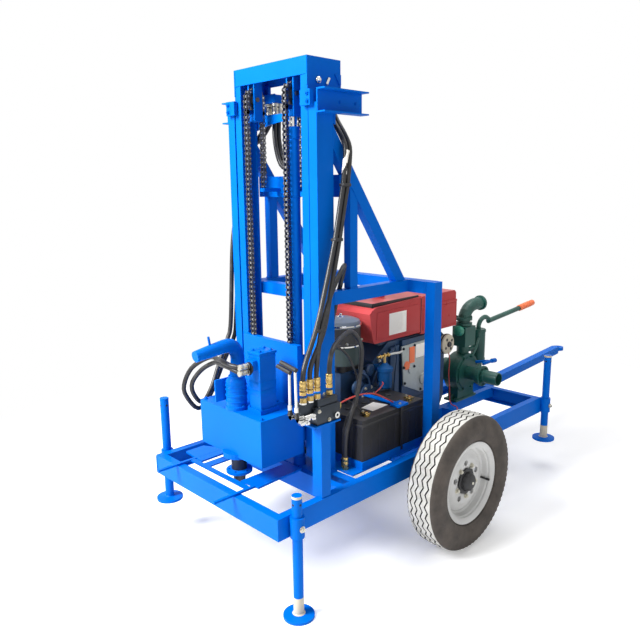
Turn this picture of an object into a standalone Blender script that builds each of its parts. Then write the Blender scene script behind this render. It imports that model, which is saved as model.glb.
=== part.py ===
"""Towed hydraulic water well drilling rig, modelled in metres, +Z up.

+X is the towing direction, the drilling end is at -X, and +Y is the far side.
The origin is on the ground, in the middle of the rig's length and width.
Pieces are laid out from the base frame's near front top corner: x runs back from
the front beam's outer face, y runs in from the near side beam's outer face and
z runs up from the deck. place() turns such a point into the world's.
"""

import math

import bmesh
import bpy
from mathutils import Matrix, Vector

# Clearances
SEAT = 0.0003           # two fixed pieces that touch
PIN = 0.0008            # rod in its bore, all round
WELD = 0.0004           # step between two welded faces that would else be flush

# Base frame: channels standing on edge
FRAME_LENGTH = 1.785
FRAME_WIDTH = 0.773
MIDDLE = FRAME_WIDTH / 2
BEAM_HEIGHT = 0.080
BEAM_FLANGE = 0.032
BEAM_WEB = 0.005
DECK_HEIGHT = 0.375     # deck above the ground
# x of a cross member's web, and the way its flanges run
CROSS_MEMBERS = ((0.310, 1), (0.412, -1), (0.84, 1), (1.30, 1))
RAIL_OFFSET = 0.1165    # engine rail's web from the middle line
RAIL_HEIGHT = 0.050
RAIL_TOP = -0.0005
FOOT_PLATE_TOP = 0.0064
TABLE_THICK = 0.0085
TABLE_BAR_YS = (0.245, 0.615)

# Reach in front and behind, which with the wheels sets the outline
BAR_REACH = 0.085       # work table bars ahead of the front beam
DRAWBAR_REACH = 1.005   # drawbar eye behind the rear beam
DRAWBAR_TUBE = 0.045

# Wheels and axle
TYRE_DIAMETER = 0.560
RIM_DIAMETER = 0.305
RIM_FLANGE = 0.0175
RIM_WIDTH = 0.112
WHEEL_X = 0.856
WHEEL_OFFSET = 0.1375   # side beam's face to the tyre's middle
AXLE_TUBE = 0.040
STUB_DIAMETER = 0.030

# Legs
LEG_PIPE = 0.036
LEG_LENGTH = 0.450
FOOT_DIAMETER = 0.110
FOOT_THICK = 0.010
SLEEVE_DIAMETER = 0.050
SLEEVE_HEIGHT = 0.076
SLEEVE_DROP = 0.002
LEG_RAISED = 0.150

# Mast
MAST_X = 0.330          # front face of the outer posts
MAST_WIDTH = 0.500
POST_WIDTH = 0.040
POST_DEPTH = 0.080
POST_WALL = 0.006
POST_HEIGHT = 1.360
STUB_CHANNEL_Z = (1.325, 1.405)
STUB_CHANNEL_LENGTH = 0.223
STUB_CHANNEL_FLANGE = 0.040
GUIDE_Z = (1.350, 1.402)
GUIDE_REACH = 0.018     # guide block ahead of the posts
TIE_Z = (1.290, 1.350)
COLUMN_OFFSET = 0.205   # column's outer face from the middle line
COLUMN_WIDTH = 0.035
COLUMN_DEPTH = 0.077
COLUMN_WALL = 0.006
COLUMN_START = 0.060
CROSSHEAD_TOP = 1.516
CROSSHEAD_HEIGHT = 0.060
CROSSHEAD_BACK = 0.495
CHEEK_BOTTOM = 1.420
LUG_END = 1.3995 - SEAT   # hose ends below the crosshead's lugs

# Rotary head
GEARBOX_X = (0.098, 0.301)
GEARBOX_Y = (0.1985, 0.5745)
GEARBOX_Z = (0.087, 0.263)
CARRIAGE_TOP = 0.500
MOTOR_TOP = 0.484
PORT_Z = 0.448          # hose port of the motor
SPINDLE_XY = (0.136, MIDDLE)
SWIVEL_RADIUS = 0.0385

# Lift
BARREL_DIAMETER = 0.042
ROD_DIAMETER = 0.028
BARREL_TOP = 1.285
SPROCKET_X = 0.350
SPROCKET_Z = 1.400
SPROCKET_RADIUS = 0.0368
CHAIN_OFFSET = 0.1095   # chain's middle from the middle line
CHAIN_PITCH = 0.01905
CHAIN_WIDTH = 0.024
BRACKET_HALF_GAP = 0.0135
BRACKET_PLATE = 0.006
WRAP_TAIL = 0.045       # straight links below the chain wheel's middle that turn with it
BRIDGE_Z = (1.322, 1.347)
CHAIN_ANCHOR_Z = 1.075

# Upper frame
UPPER_Z = 0.700
UPPER_TUBE = 0.050
PORTAL_X = 0.840
MID_TIE_Z = (1.040, 1.120)

# Controls
VALVE_Y = 0.0275
VALVE_Z = 0.2736

# Engine side
PUMP_CENTRE = (1.497, 0.300, 0.141)
HOSE_RADIUS = 0.009

SIDES = (("near", -1), ("far", 1))

ORIGIN = Vector((
    (FRAME_LENGTH + DRAWBAR_REACH - BAR_REACH) / 2,
    MIDDLE,
    -DECK_HEIGHT,
))

BLUE = ("azure_paint", (0.0, 0.28, 0.85), 0.35, 0.0)
RED = ("tank_red", (0.32, 0.03, 0.04), 0.4, 0.0)
GREEN = ("pump_green", (0.01, 0.11, 0.08), 0.45, 0.0)
STEEL_BLUE = ("engine_blue", (0.03, 0.06, 0.11), 0.5, 0.3)
SILVER = ("cast_silver", (0.5, 0.52, 0.53), 0.45, 0.8)
CHROME = ("bright_chrome", (0.75, 0.75, 0.72), 0.15, 1.0)
BLACK = ("black_plastic", (0.02, 0.02, 0.022), 0.5, 0.0)
HOSE = ("hose_rubber", (0.015, 0.015, 0.015), 0.6, 0.0)
TYRE = ("tyre_rubber", (0.10, 0.09, 0.085), 0.85, 0.0)
RIM = ("rim_silver", (0.62, 0.62, 0.60), 0.4, 0.6)
CHAIN = ("chain_steel", (0.12, 0.12, 0.13), 0.4, 0.8)
ORANGE = ("orange_grip", (0.75, 0.20, 0.05), 0.5, 0.0)


def place(point):
    """Turn a point laid out from the frame's corner into a world point."""
    return Vector(point) - ORIGIN


def material(look):
    name, colour, roughness, metallic = look
    found = bpy.data.materials.get(name)
    if found:
        return found
    made = bpy.data.materials.new(name)
    made.use_nodes = True
    shader = made.node_tree.nodes["Principled BSDF"]
    shader.inputs["Base Color"].default_value = (*colour, 1.0)
    shader.inputs["Roughness"].default_value = roughness
    shader.inputs["Metallic"].default_value = metallic
    made.diffuse_color = (*colour, 1.0)
    return made


def clear_scene():
    for old in list(bpy.data.objects):
        bpy.data.objects.remove(old, do_unlink=True)


def shell(bm):
    """Give a finished bmesh as a mesh whose faces point outwards."""
    bmesh.ops.recalc_face_normals(bm, faces=bm.faces)
    mesh = bpy.data.meshes.new("shape")
    bm.to_mesh(mesh)
    bm.free()
    return mesh


def box(x, y, z):
    """Block between two x, two y and two z values."""
    bm = bmesh.new()
    bmesh.ops.create_cube(bm, size=1.0)
    size = Vector((x[1] - x[0], y[1] - y[0], z[1] - z[0]))
    middle = Vector(((x[0] + x[1]) / 2, (y[0] + y[1]) / 2, (z[0] + z[1]) / 2))
    for vert in bm.verts:
        vert.co = Vector([c * s for c, s in zip(vert.co, size)]) + middle
    return shell(bm)


def prism(outline, plane, span):
    """Extrude an outline. plane names its two axes, and span runs along the third."""
    axes = {"X": 0, "Y": 1, "Z": 2}
    u, v = axes[plane[0]], axes[plane[1]]
    w = 3 - u - v
    bm = bmesh.new()
    rings = []
    for level in span:
        ring = []
        for a, b in outline:
            co = [0.0, 0.0, 0.0]
            co[u], co[v], co[w] = a, b, level
            ring.append(bm.verts.new(co))
        rings.append(ring)
    count = len(outline)
    bm.faces.new(rings[0])
    bm.faces.new(rings[1])
    for i in range(count):
        j = (i + 1) % count
        bm.faces.new((rings[0][i], rings[0][j], rings[1][j], rings[1][i]))
    return shell(bm)


def turned(profile, centre, axis, segments=32):
    """Revolve a closed or axis-touching (radius, height) profile about an axis."""
    bm = bmesh.new()
    closed = profile[0][0] > 0 and profile[-1][0] > 0
    rings = []
    for radius, height in profile:
        if radius == 0:
            rings.append([bm.verts.new((0, 0, height))])
            continue
        ring = []
        for i in range(segments):
            angle = 2 * math.pi * i / segments
            ring.append(bm.verts.new((radius * math.cos(angle), radius * math.sin(angle), height)))
        rings.append(ring)
    pairs = list(zip(rings, rings[1:]))
    if closed:
        pairs.append((rings[-1], rings[0]))
    for low, high in pairs:
        for i in range(segments):
            j = (i + 1) % segments
            if len(low) == 1:
                bm.faces.new((low[0], high[j], high[i]))
            elif len(high) == 1:
                bm.faces.new((low[i], low[j], high[0]))
            else:
                bm.faces.new((low[i], low[j], high[j], high[i]))
    turn = Vector((0, 0, 1)).rotation_difference(Vector(axis)).to_matrix().to_4x4()
    bmesh.ops.transform(bm, matrix=Matrix.Translation(centre) @ turn, verts=bm.verts)
    return shell(bm)


def rod(start, end, radius, segments=16):
    """Solid round bar between two points."""
    start, end = Vector(start), Vector(end)
    span = end - start
    profile = [(0, 0), (radius, 0), (radius, span.length), (0, span.length)]
    return turned(profile, start, span.normalized(), segments)


def pipe(start, end, outer, inner, segments=20):
    """Open round tube between two points."""
    start, end = Vector(start), Vector(end)
    span = end - start
    profile = [(inner, 0), (outer, 0), (outer, span.length), (inner, span.length)]
    return turned(profile, start, span.normalized(), segments)


def bar(start, end, width, height, up=(0, 0, 1)):
    """Rectangular bar along a slanted line. height lies towards up."""
    start, end = Vector(start), Vector(end)
    along = (end - start).normalized()
    side = Vector(up).cross(along).normalized()
    top = along.cross(side)
    bm = bmesh.new()
    ends = []
    for point in (start, end):
        ring = []
        for a, b in ((-1, -1), (1, -1), (1, 1), (-1, 1)):
            ring.append(bm.verts.new(point + side * a * width / 2 + top * b * height / 2))
        ends.append(ring)
    bm.faces.new(ends[0])
    bm.faces.new(ends[1])
    for i in range(4):
        j = (i + 1) % 4
        bm.faces.new((ends[0][i], ends[0][j], ends[1][j], ends[1][i]))
    return shell(bm)


def channel_outline(web_at, inward, height_span, flange, web):
    """C section: the web's outer face is at web_at, its flanges run the inward way."""
    low, high = height_span
    a = web_at
    b = web_at + inward * web
    c = web_at + inward * flange
    return [(a, low), (c, low), (c, low + web), (b, low + web),
            (b, high - web), (c, high - web), (c, high), (a, high)]


def as_object(mesh, name="piece"):
    made = bpy.data.objects.new(name, mesh)
    bpy.context.collection.objects.link(made)
    return made


def combined(base, others, operation):
    """Apply exact Booleans of others to base and return one plain mesh."""
    holder = as_object(base)
    helpers = [as_object(mesh) for mesh in others]
    for helper in helpers:
        step = holder.modifiers.new("step", "BOOLEAN")
        step.operation = operation
        step.solver = "EXACT"
        step.object = helper
    graph = bpy.context.evaluated_depsgraph_get()
    mesh = bpy.data.meshes.new_from_object(holder.evaluated_get(graph))
    for old in (holder, *helpers):
        bpy.data.objects.remove(old, do_unlink=True)
    return mesh


def fused(pieces):
    return combined(pieces[0], pieces[1:], "UNION")


def cut(base, holes):
    return combined(base, holes, "DIFFERENCE")


def add(name, mesh, look, pivot=None, smooth=True):
    """Make a named object whose origin is at the pivot, laid out as place() does."""
    pivot = Vector(pivot) if pivot is not None else Vector((0, 0, 0))
    mesh.transform(Matrix.Translation(-pivot))
    mesh.name = name
    mesh.materials.clear()
    mesh.materials.append(material(look))
    if smooth:
        mesh.shade_smooth()
        mesh.set_sharp_from_angle(angle=math.radians(35))
    made = as_object(mesh, name)
    made.location = place(pivot)
    return made


def swept(route, radius, segments=10):
    """Closed tube along a route of points. radius is one value or one for each point."""
    points = [Vector(p) for p in route]
    radii = radius if isinstance(radius, (list, tuple)) else [radius] * len(points)
    bm = bmesh.new()
    side = None
    rings = []
    for i, point in enumerate(points):
        along = (points[min(i + 1, len(points) - 1)] - points[max(i - 1, 0)]).normalized()
        if side is None:
            side = along.orthogonal().normalized()
        side = (side - along * side.dot(along)).normalized()
        other = along.cross(side)
        ring = []
        for k in range(segments):
            angle = 2 * math.pi * k / segments
            spoke = side * math.cos(angle) + other * math.sin(angle)
            ring.append(bm.verts.new(point + spoke * radii[i]))
        rings.append(ring)
    for low, high in zip(rings, rings[1:]):
        for i in range(segments):
            j = (i + 1) % segments
            bm.faces.new((low[i], low[j], high[j], high[i]))
    bm.faces.new(rings[0])
    bm.faces.new(rings[-1])
    return shell(bm)


def smooth_route(knots, step):
    """Points at about even steps along a Catmull-Rom curve through the knots."""
    knots = [Vector(p) for p in knots]
    padded = [knots[0] * 2 - knots[1], *knots, knots[-1] * 2 - knots[-2]]
    fine = []
    for a, b, c, d in zip(padded, padded[1:], padded[2:], padded[3:]):
        for k in range(12):
            t = k / 12
            fine.append(0.5 * ((2 * b) + (c - a) * t + (2 * a - 5 * b + 4 * c - d) * t * t
                               + (3 * b - a - 3 * c + d) * t * t * t))
    fine.append(knots[-1])
    straight = step / 4
    first = knots[0] + (knots[1] - knots[0]).normalized() * straight
    last = knots[-1] + (knots[-2] - knots[-1]).normalized() * straight
    route = [knots[0], first]
    for point in fine[1:-1]:
        if (point - route[-1]).length >= step:
            route.append(point)
    if (last - route[-1]).length < step / 2:
        route.pop()
    return route + [last, knots[-1]]


def span(side, *offsets):
    """Low and high y of a piece between two distances from the middle line."""
    return tuple(sorted(MIDDLE + side * offset for offset in offsets))


def leg_places():
    """Name, x, y and raised height of the four legs."""
    front = 0.065
    rear = FRAME_LENGTH + 0.017
    side = 0.023
    corner = 0.017
    return (
        ("near_front", front, -side, 0.0),
        ("far_front", front, FRAME_WIDTH + side, LEG_RAISED),
        ("near_rear", rear, -corner, LEG_RAISED),
        ("far_rear", rear, FRAME_WIDTH + corner, 0.0),
    )


def base_frame():
    """Channel frame with cross members, engine rails, mast foot and leg sleeves."""
    side = (-BEAM_HEIGHT, 0.0)
    cross = (-BEAM_HEIGHT + WELD, -WELD)
    ends = (WELD, FRAME_WIDTH - WELD)
    length = (2 * WELD, FRAME_LENGTH - 2 * WELD)
    pieces = [
        prism(channel_outline(0.0, 1, side, BEAM_FLANGE, BEAM_WEB), "YZ", length),
        prism(channel_outline(FRAME_WIDTH, -1, side, BEAM_FLANGE, BEAM_WEB), "YZ", length),
        prism(channel_outline(0.0, 1, cross, BEAM_FLANGE, BEAM_WEB), "XZ", ends),
        prism(channel_outline(FRAME_LENGTH, -1, cross, BEAM_FLANGE, BEAM_WEB), "XZ", ends),
    ]
    inner = (BEAM_WEB / 2, FRAME_WIDTH - BEAM_WEB / 2)
    for x, way in CROSS_MEMBERS:
        pieces.append(prism(channel_outline(x, way, cross, BEAM_FLANGE, BEAM_WEB), "XZ", inner))
    rail = (-RAIL_HEIGHT, RAIL_TOP)
    run = (CROSS_MEMBERS[1][0] - BEAM_WEB / 2, FRAME_LENGTH - BEAM_WEB / 2)
    for way in (-1, 1):
        outline = channel_outline(MIDDLE + way * RAIL_OFFSET, -way, rail, BEAM_FLANGE, BEAM_WEB)
        pieces.append(prism(outline, "YZ", run))
    pieces.append(box((MAST_X - 0.003, MAST_X + POST_DEPTH + 0.003), span(1, -0.257, 0.257),
                      (-0.004, FOOT_PLATE_TOP)))
    for name, x, y, raised in leg_places():
        pieces.append(pipe((x, y, -SLEEVE_HEIGHT), (x, y, -SLEEVE_DROP), SLEEVE_DIAMETER / 2,
                           LEG_PIPE / 2 + PIN, 24))
    add("base_frame", fused(pieces), BLUE)


def deck_and_table():
    plate = box((0.416, 0.872), (0.050, FRAME_WIDTH - 0.050), (-WELD + SEAT, 0.0049))
    add("deck_plate", plate, BLUE)
    back = 0.320
    pieces = []
    for y in TABLE_BAR_YS:
        pieces.append(box((-BAR_REACH, back), (y - 0.006, y + 0.006), (SEAT, TABLE_THICK)))
    levels = (SEAT + WELD, TABLE_THICK - WELD)
    near = ((0.098, 0.221), (0.085, 0.313), (back - WELD, 0.313), (back - WELD, 0.230), (0.182, 0.226))
    far = ((0.095, 0.697), (0.181, 0.698), (0.217, 0.630), (back - WELD, 0.630),
           (back - WELD, 0.573), (0.085, 0.569))
    pieces.append(prism(near, "XY", levels))
    pieces.append(prism(far, "XY", levels))
    inner = (SEAT + 2 * WELD, TABLE_THICK - 2 * WELD)
    pieces.append(box((0.060, 0.080), (0.243, 0.617), inner))
    pieces.append(box((0.070, back - 2 * WELD), (0.505, 0.545),
                      (SEAT + 3 * WELD, TABLE_THICK - 3 * WELD)))
    pieces.append(box((back - 0.025, back - 3 * WELD), (0.243, 0.617),
                      (SEAT + 4 * WELD, TABLE_THICK - 4 * WELD)))
    add("work_table", fused(pieces), BLUE)


def drawbar():
    root = (FRAME_LENGTH + SEAT, MIDDLE, -0.038)
    tip = (FRAME_LENGTH + DRAWBAR_REACH - 0.034, MIDDLE, 0.019)
    x = root[0]
    eye = Vector(tip)
    pieces = [
        bar((x + 0.004, MIDDLE, root[2]), tip, DRAWBAR_TUBE, DRAWBAR_TUBE),
        box((x, x + 0.010), (MIDDLE - 0.06, MIDDLE + 0.06), (-0.075, -0.004)),
        rod(eye - Vector((0, 0, 0.011)), eye + Vector((0, 0, 0.011)), 0.034, 28),
    ]
    hole = rod(eye - Vector((0, 0, 0.06)), eye + Vector((0, 0, 0.06)), 0.018, 24)
    trim = box((tip[0] - 0.036, tip[0] + 0.1), (MIDDLE - 0.1, MIDDLE + 0.1),
               (tip[2] + 0.0105, tip[2] + 0.1))
    trim_low = box((tip[0] - 0.036, tip[0] + 0.1), (MIDDLE - 0.1, MIDDLE + 0.1),
                   (tip[2] - 0.1, tip[2] - 0.0105))
    add("drawbar", cut(fused(pieces), [hole, trim, trim_low]), BLUE)


def axle_and_wheels():
    low = -BEAM_HEIGHT - SEAT - AXLE_TUBE
    tube = box((WHEEL_X - AXLE_TUBE / 2, WHEEL_X + AXLE_TUBE / 2), (-0.030, FRAME_WIDTH + 0.030),
               (low, low + AXLE_TUBE))
    hub_z = TYRE_DIAMETER / 2 - DECK_HEIGHT
    stubs = [rod((WHEEL_X, -0.02, hub_z), (WHEEL_X, -0.180, hub_z), STUB_DIAMETER / 2, 20),
             rod((WHEEL_X, FRAME_WIDTH + 0.02, hub_z), (WHEEL_X, FRAME_WIDTH + 0.180, hub_z),
                 STUB_DIAMETER / 2, 20)]
    ends = [box((WHEEL_X - AXLE_TUBE / 2 + WELD, WHEEL_X + AXLE_TUBE / 2 - WELD),
                span(side, FRAME_WIDTH / 2 + 0.021, FRAME_WIDTH / 2 + 0.031),
                (min(low, hub_z - 0.02) - WELD, max(low + AXLE_TUBE, hub_z + 0.02) + WELD)) for side in (-1, 1)]
    add("axle_beam", fused([tube, *stubs, *ends]), BLUE)
    for name, side in SIDES:
        centre = (WHEEL_X, MIDDLE + side * (FRAME_WIDTH / 2 + WHEEL_OFFSET), hub_z)
        out = (0, side, 0)
        outer = TYRE_DIAMETER / 2
        seat = RIM_DIAMETER / 2
        half = RIM_WIDTH / 2
        wall = [(seat + SEAT, half - 0.011), (seat + 0.0195, half - 0.0055), (seat + 0.024, half + 0.004),
                (0.200, 0.0700), (0.225, 0.0725), (0.268, 0.0630),
                (outer - 0.0035, 0.0510), (outer, 0.030)]
        profile = [(r, s) for r, s in wall] + [(r, -s) for r, s in reversed(wall)]
        add(name + "_tyre", turned(profile, centre, out, 48), TYRE, pivot=centre)
        flange = seat + RIM_FLANGE
        bore = STUB_DIAMETER / 2 + PIN
        profile = [(flange, half), (flange, half - 0.005), (seat, half - 0.010), (seat, 0.010 - half),
                   (flange, 0.005 - half), (flange, -half), (seat - 0.005, -half),
                   (seat - 0.005, 0.004), (0.105, 0.004), (0.090, 0.014), (0.060, 0.014), (0.042, 0.006),
                   (0.042, 0.012), (0.060, 0.020), (0.092, 0.020), (0.108, 0.010),
                   (seat - 0.005, 0.010), (seat - 0.005, half)]
        add(name + "_rim", turned(profile, centre, out, 48), RIM, pivot=centre)
        hub = [(0, 0.060), (0.020, 0.060), (0.027, 0.054), (0.030, 0.030), (0.0415, 0.028),
               (0.0415, -0.012), (0.034, -0.014), (0.034, -0.060), (bore, -0.060), (bore, 0.046),
               (0, 0.046)]
        add(name + "_hub", turned(hub, centre, out, 28), BLACK, pivot=centre)


def legs():
    for name, x, y, raised in leg_places():
        low = raised - DECK_HEIGHT
        pipe_radius = LEG_PIPE / 2
        foot = FOOT_DIAMETER / 2
        profile = [(0, low), (foot, low), (foot, low + FOOT_THICK), (pipe_radius, low + FOOT_THICK + 0.004),
                   (pipe_radius, low + LEG_LENGTH), (0, low + LEG_LENGTH)]
        add(name + "_leg", turned(profile, (x, y, 0), (0, 0, 1), 28), BLUE, pivot=(x, y, low))


def mast():
    """Outer mast: two posts, their stub channels and guides, and the arched tie behind."""
    pieces = []
    back = MAST_X + POST_DEPTH
    for side in (-1, 1):
        outer = MIDDLE + side * MAST_WIDTH / 2
        outline = channel_outline(outer, -side, (MAST_X, back), POST_WIDTH, POST_WALL)
        pieces.append(prism(outline, "YX", (FOOT_PLATE_TOP + SEAT, POST_HEIGHT)))
        stub = channel_outline(outer - side * WELD, side, STUB_CHANNEL_Z, STUB_CHANNEL_FLANGE, BEAM_WEB)
        pieces.append(prism(stub, "YZ", (MAST_X + WELD, MAST_X + STUB_CHANNEL_LENGTH)))
        ahead = MAST_X - GUIDE_REACH
        pieces.append(box((ahead, MAST_X + WELD), span(side, 0.2105, 0.236), GUIDE_Z))
        pieces.append(box((ahead + WELD, MAST_X - 0.0025), span(side, 0.1865, 0.2109),
                          (GUIDE_Z[0] + WELD, GUIDE_Z[1] - WELD)))
        pieces.append(box((back - WELD, back + 0.0055), span(side, 0.212, 0.2485),
                          (TIE_Z[0] + 0.004, TIE_Z[1] - 0.004)))
    arch = [(MAST_WIDTH / 2, TIE_Z[1]), (-MAST_WIDTH / 2, TIE_Z[1]), (-MAST_WIDTH / 2, TIE_Z[0])]
    reach = MAST_WIDTH / 2 - POST_WIDTH
    for k in range(13):
        y = reach * (k / 6 - 1)
        arch.append((y, TIE_Z[0] + 0.032 * math.cos(math.pi * y / (2 * reach))))
    arch.append((MAST_WIDTH / 2, TIE_Z[0]))
    arch = [(MIDDLE + y, z) for y, z in arch]
    pieces.append(prism(arch, "YZ", (back + 0.005, back + 0.012)))
    add("mast", fused(pieces), BLUE)


def upper_frame():
    low, high = UPPER_Z - UPPER_TUBE, UPPER_Z
    front = MAST_X + POST_DEPTH + SEAT
    pieces = []
    for side in (-1, 1):
        edge = FRAME_WIDTH / 2
        pieces.append(box((PORTAL_X, PORTAL_X + UPPER_TUBE), span(side, edge - 0.045, edge),
                          (SEAT, high - WELD)))
        pieces.append(box((front, PORTAL_X + UPPER_TUBE / 2), span(side, 0.210, 0.250),
                          (low + WELD, high - 2 * WELD)))
    pieces.append(box((PORTAL_X + WELD, PORTAL_X + UPPER_TUBE - WELD),
                      span(1, 0.020 - edge, edge - 0.020), (low, high)))
    pieces.append(box((front + 0.006, front + 0.046), span(1, -0.230, 0.230),
                      (low + 2 * WELD, high - 3 * WELD)))
    add("upper_frame", fused(pieces), BLUE)


def brace_frame():
    """Slanted braces behind the mast with their struts and the tie between them."""
    front = MAST_X + POST_DEPTH + SEAT
    foot = UPPER_Z + SEAT
    pieces = []
    for side in (-1, 1):
        outline = ((front, 1.2106), (front, 1.290), (0.826, foot), (0.770, foot))
        pieces.append(prism(outline, "XZ", span(side, 0.212, 0.248)))
        pieces.append(box((0.500, 0.540), span(side, 0.214, 0.246), (foot, 1.090)))
    pieces.append(box((0.460, 0.512), span(1, -0.230, 0.230), MID_TIE_Z))
    for side in (-1, 1):
        pieces.append(box((SPROCKET_X + SPROCKET_RADIUS - 0.009, 0.462),
                          span(side, CHAIN_OFFSET - 0.012, CHAIN_OFFSET + 0.012),
                          (CHAIN_ANCHOR_Z - 0.014, CHAIN_ANCHOR_Z)))
    add("brace_frame", fused(pieces), BLUE)


def inner_mast():
    """Sliding columns, crosshead, bottom tie and the brackets that hold the sprockets."""
    pieces = []
    front = MAST_X + 0.002
    rear = front + COLUMN_DEPTH
    top = CROSSHEAD_TOP
    for side in (-1, 1):
        outer = MIDDLE + side * COLUMN_OFFSET
        outline = channel_outline(outer - side * WELD, -side, (front + WELD, rear), COLUMN_WIDTH, COLUMN_WALL)
        pieces.append(prism(outline, "YX", (COLUMN_START, top - 0.004)))
        pieces.append(box((MAST_X + WELD, CROSSHEAD_BACK - WELD),
                          span(side, COLUMN_OFFSET, COLUMN_OFFSET - 0.007), (CHEEK_BOTTOM, top - WELD)))
        for face in (-1, 1):
            near_face = CHAIN_OFFSET + face * BRACKET_HALF_GAP
            far_face = near_face + face * BRACKET_PLATE
            pieces.append(box((MAST_X + 0.006, 0.374), span(side, near_face, far_face),
                              (BRIDGE_Z[0] + WELD, top - 0.004)))
        bridge = BRACKET_HALF_GAP + BRACKET_PLATE / 2
        pieces.append(box((MAST_X + 0.0065, 0.3735), span(side, CHAIN_OFFSET - bridge, CHAIN_OFFSET + bridge),
                          BRIDGE_Z))
        pieces.append(box((0.452, 0.498), span(side, COLUMN_OFFSET - 0.100, COLUMN_OFFSET - 0.0016),
                          (CHEEK_BOTTOM - 0.020, CHEEK_BOTTOM + 0.010)))
    pieces.append(box((MAST_X, MAST_X + 0.007), span(1, 0.001 - COLUMN_OFFSET, COLUMN_OFFSET - 0.001),
                      (top - CROSSHEAD_HEIGHT, top - 2 * WELD)))
    pieces.append(box((CROSSHEAD_BACK - 0.007, CROSSHEAD_BACK),
                      span(1, 0.001 - COLUMN_OFFSET, COLUMN_OFFSET - 0.001),
                      (top - CROSSHEAD_HEIGHT + 0.01, top - 2 * WELD)))
    pieces.append(box((MAST_X + 2 * WELD, CROSSHEAD_BACK - 2 * WELD),
                      span(1, 0.002 - COLUMN_OFFSET, COLUMN_OFFSET - 0.002), (top - 0.007, top)))
    pieces.append(box((rear - 0.024, rear - 0.008), span(1, 0.002 - COLUMN_OFFSET, COLUMN_OFFSET - 0.002),
                      (COLUMN_START + 0.002, COLUMN_START + 0.022)))
    add("inner_mast", fused(pieces), BLUE)


def sprocket_outline(teeth, radius, roller):
    """Points of a chain wheel's edge about its own centre."""
    points = []
    for k in range(teeth):
        for part, reach in ((0.0, roller * 0.55), (0.18, roller * 0.10), (0.32, -roller * 0.45),
                            (0.68, -roller * 0.45), (0.82, roller * 0.10)):
            angle = 2 * math.pi * (k + part) / teeth
            points.append(((radius + reach) * math.cos(angle), (radius + reach) * math.sin(angle)))
    return points


def chain_edge(start, end, centre, depth):
    """Waisted outline, in x and z, of a straight run of links."""
    count = max(2, round((end - start) / CHAIN_PITCH))
    pitch = (end - start) / count
    right, left = [], []
    for k in range(count):
        low = start + k * pitch
        for part, width in ((0.0, 0.72), (0.25, 1.0), (0.75, 1.0)):
            right.append((centre + depth / 2 * width, low + part * pitch))
            left.append((centre - depth / 2 * width, low + part * pitch))
    right.append((centre + depth / 2, end))
    left.append((centre - depth / 2, end))
    return right + left[::-1]


def lift():
    """Cylinder, chain wheels and the four straight chain runs."""
    y = MIDDLE - CHAIN_OFFSET
    low = FOOT_PLATE_TOP + SEAT
    radius = BARREL_DIAMETER / 2
    bore = ROD_DIAMETER / 2 + PIN
    barrel = [(0, low), (radius + 0.004, low), (radius + 0.004, low + 0.03), (radius, low + 0.034),
              (radius, BARREL_TOP - 0.04), (radius + 0.002, BARREL_TOP - 0.038),
              (radius + 0.002, BARREL_TOP), (bore, BARREL_TOP), (bore, 0.31), (0, 0.31)]
    add("lift_barrel", turned(barrel, (SPROCKET_X, y, 0), (0, 0, 1), 28), BLUE)
    rod_top = BRIDGE_Z[0] - SEAT
    add("lift_rod", rod((SPROCKET_X, y, 0.40), (SPROCKET_X, y, rod_top), ROD_DIAMETER / 2, 24), CHROME)
    for name, side in SIDES:
        middle = MIDDLE + side * CHAIN_OFFSET
        rim = [(SPROCKET_X + u, SPROCKET_Z + w) for u, w in sprocket_outline(12, SPROCKET_RADIUS, 0.008)]
        disc = prism(rim, "XZ", (middle - 0.0045, middle + 0.0045))
        half_hub = BRACKET_HALF_GAP - SEAT
        hub = rod((SPROCKET_X, middle - half_hub, SPROCKET_Z), (SPROCKET_X, middle + half_hub, SPROCKET_Z),
                  0.018, 20)
        wrap = []
        for reach, way in ((0.009, 1), (-0.009, -1)):
            loop = SPROCKET_RADIUS + reach
            wrap.append((SPROCKET_X + way * loop, SPROCKET_Z - WRAP_TAIL))
            for k in range(17):
                angle = math.pi * (k if way > 0 else 16 - k) / 16
                wrap.append((SPROCKET_X + loop * math.cos(angle), SPROCKET_Z + loop * math.sin(angle)))
            wrap.append((SPROCKET_X - way * loop, SPROCKET_Z - WRAP_TAIL))
        arc = prism(wrap, "XZ", (middle - CHAIN_WIDTH / 2, middle + CHAIN_WIDTH / 2))
        add(name + "_sprocket", fused([disc, hub, arc]), CHAIN)
        across = (middle - CHAIN_WIDTH / 2, middle + CHAIN_WIDTH / 2)
        run = chain_edge(CARRIAGE_TOP + SEAT, SPROCKET_Z - WRAP_TAIL - SEAT, SPROCKET_X - SPROCKET_RADIUS, 0.018)
        add(name + "_front_chain", prism(run, "XZ", across), CHAIN, smooth=False)
        run = chain_edge(CHAIN_ANCHOR_Z + SEAT, SPROCKET_Z - WRAP_TAIL - SEAT, SPROCKET_X + SPROCKET_RADIUS, 0.018)
        add(name + "_rear_chain", prism(run, "XZ", across), CHAIN, smooth=False)


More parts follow.
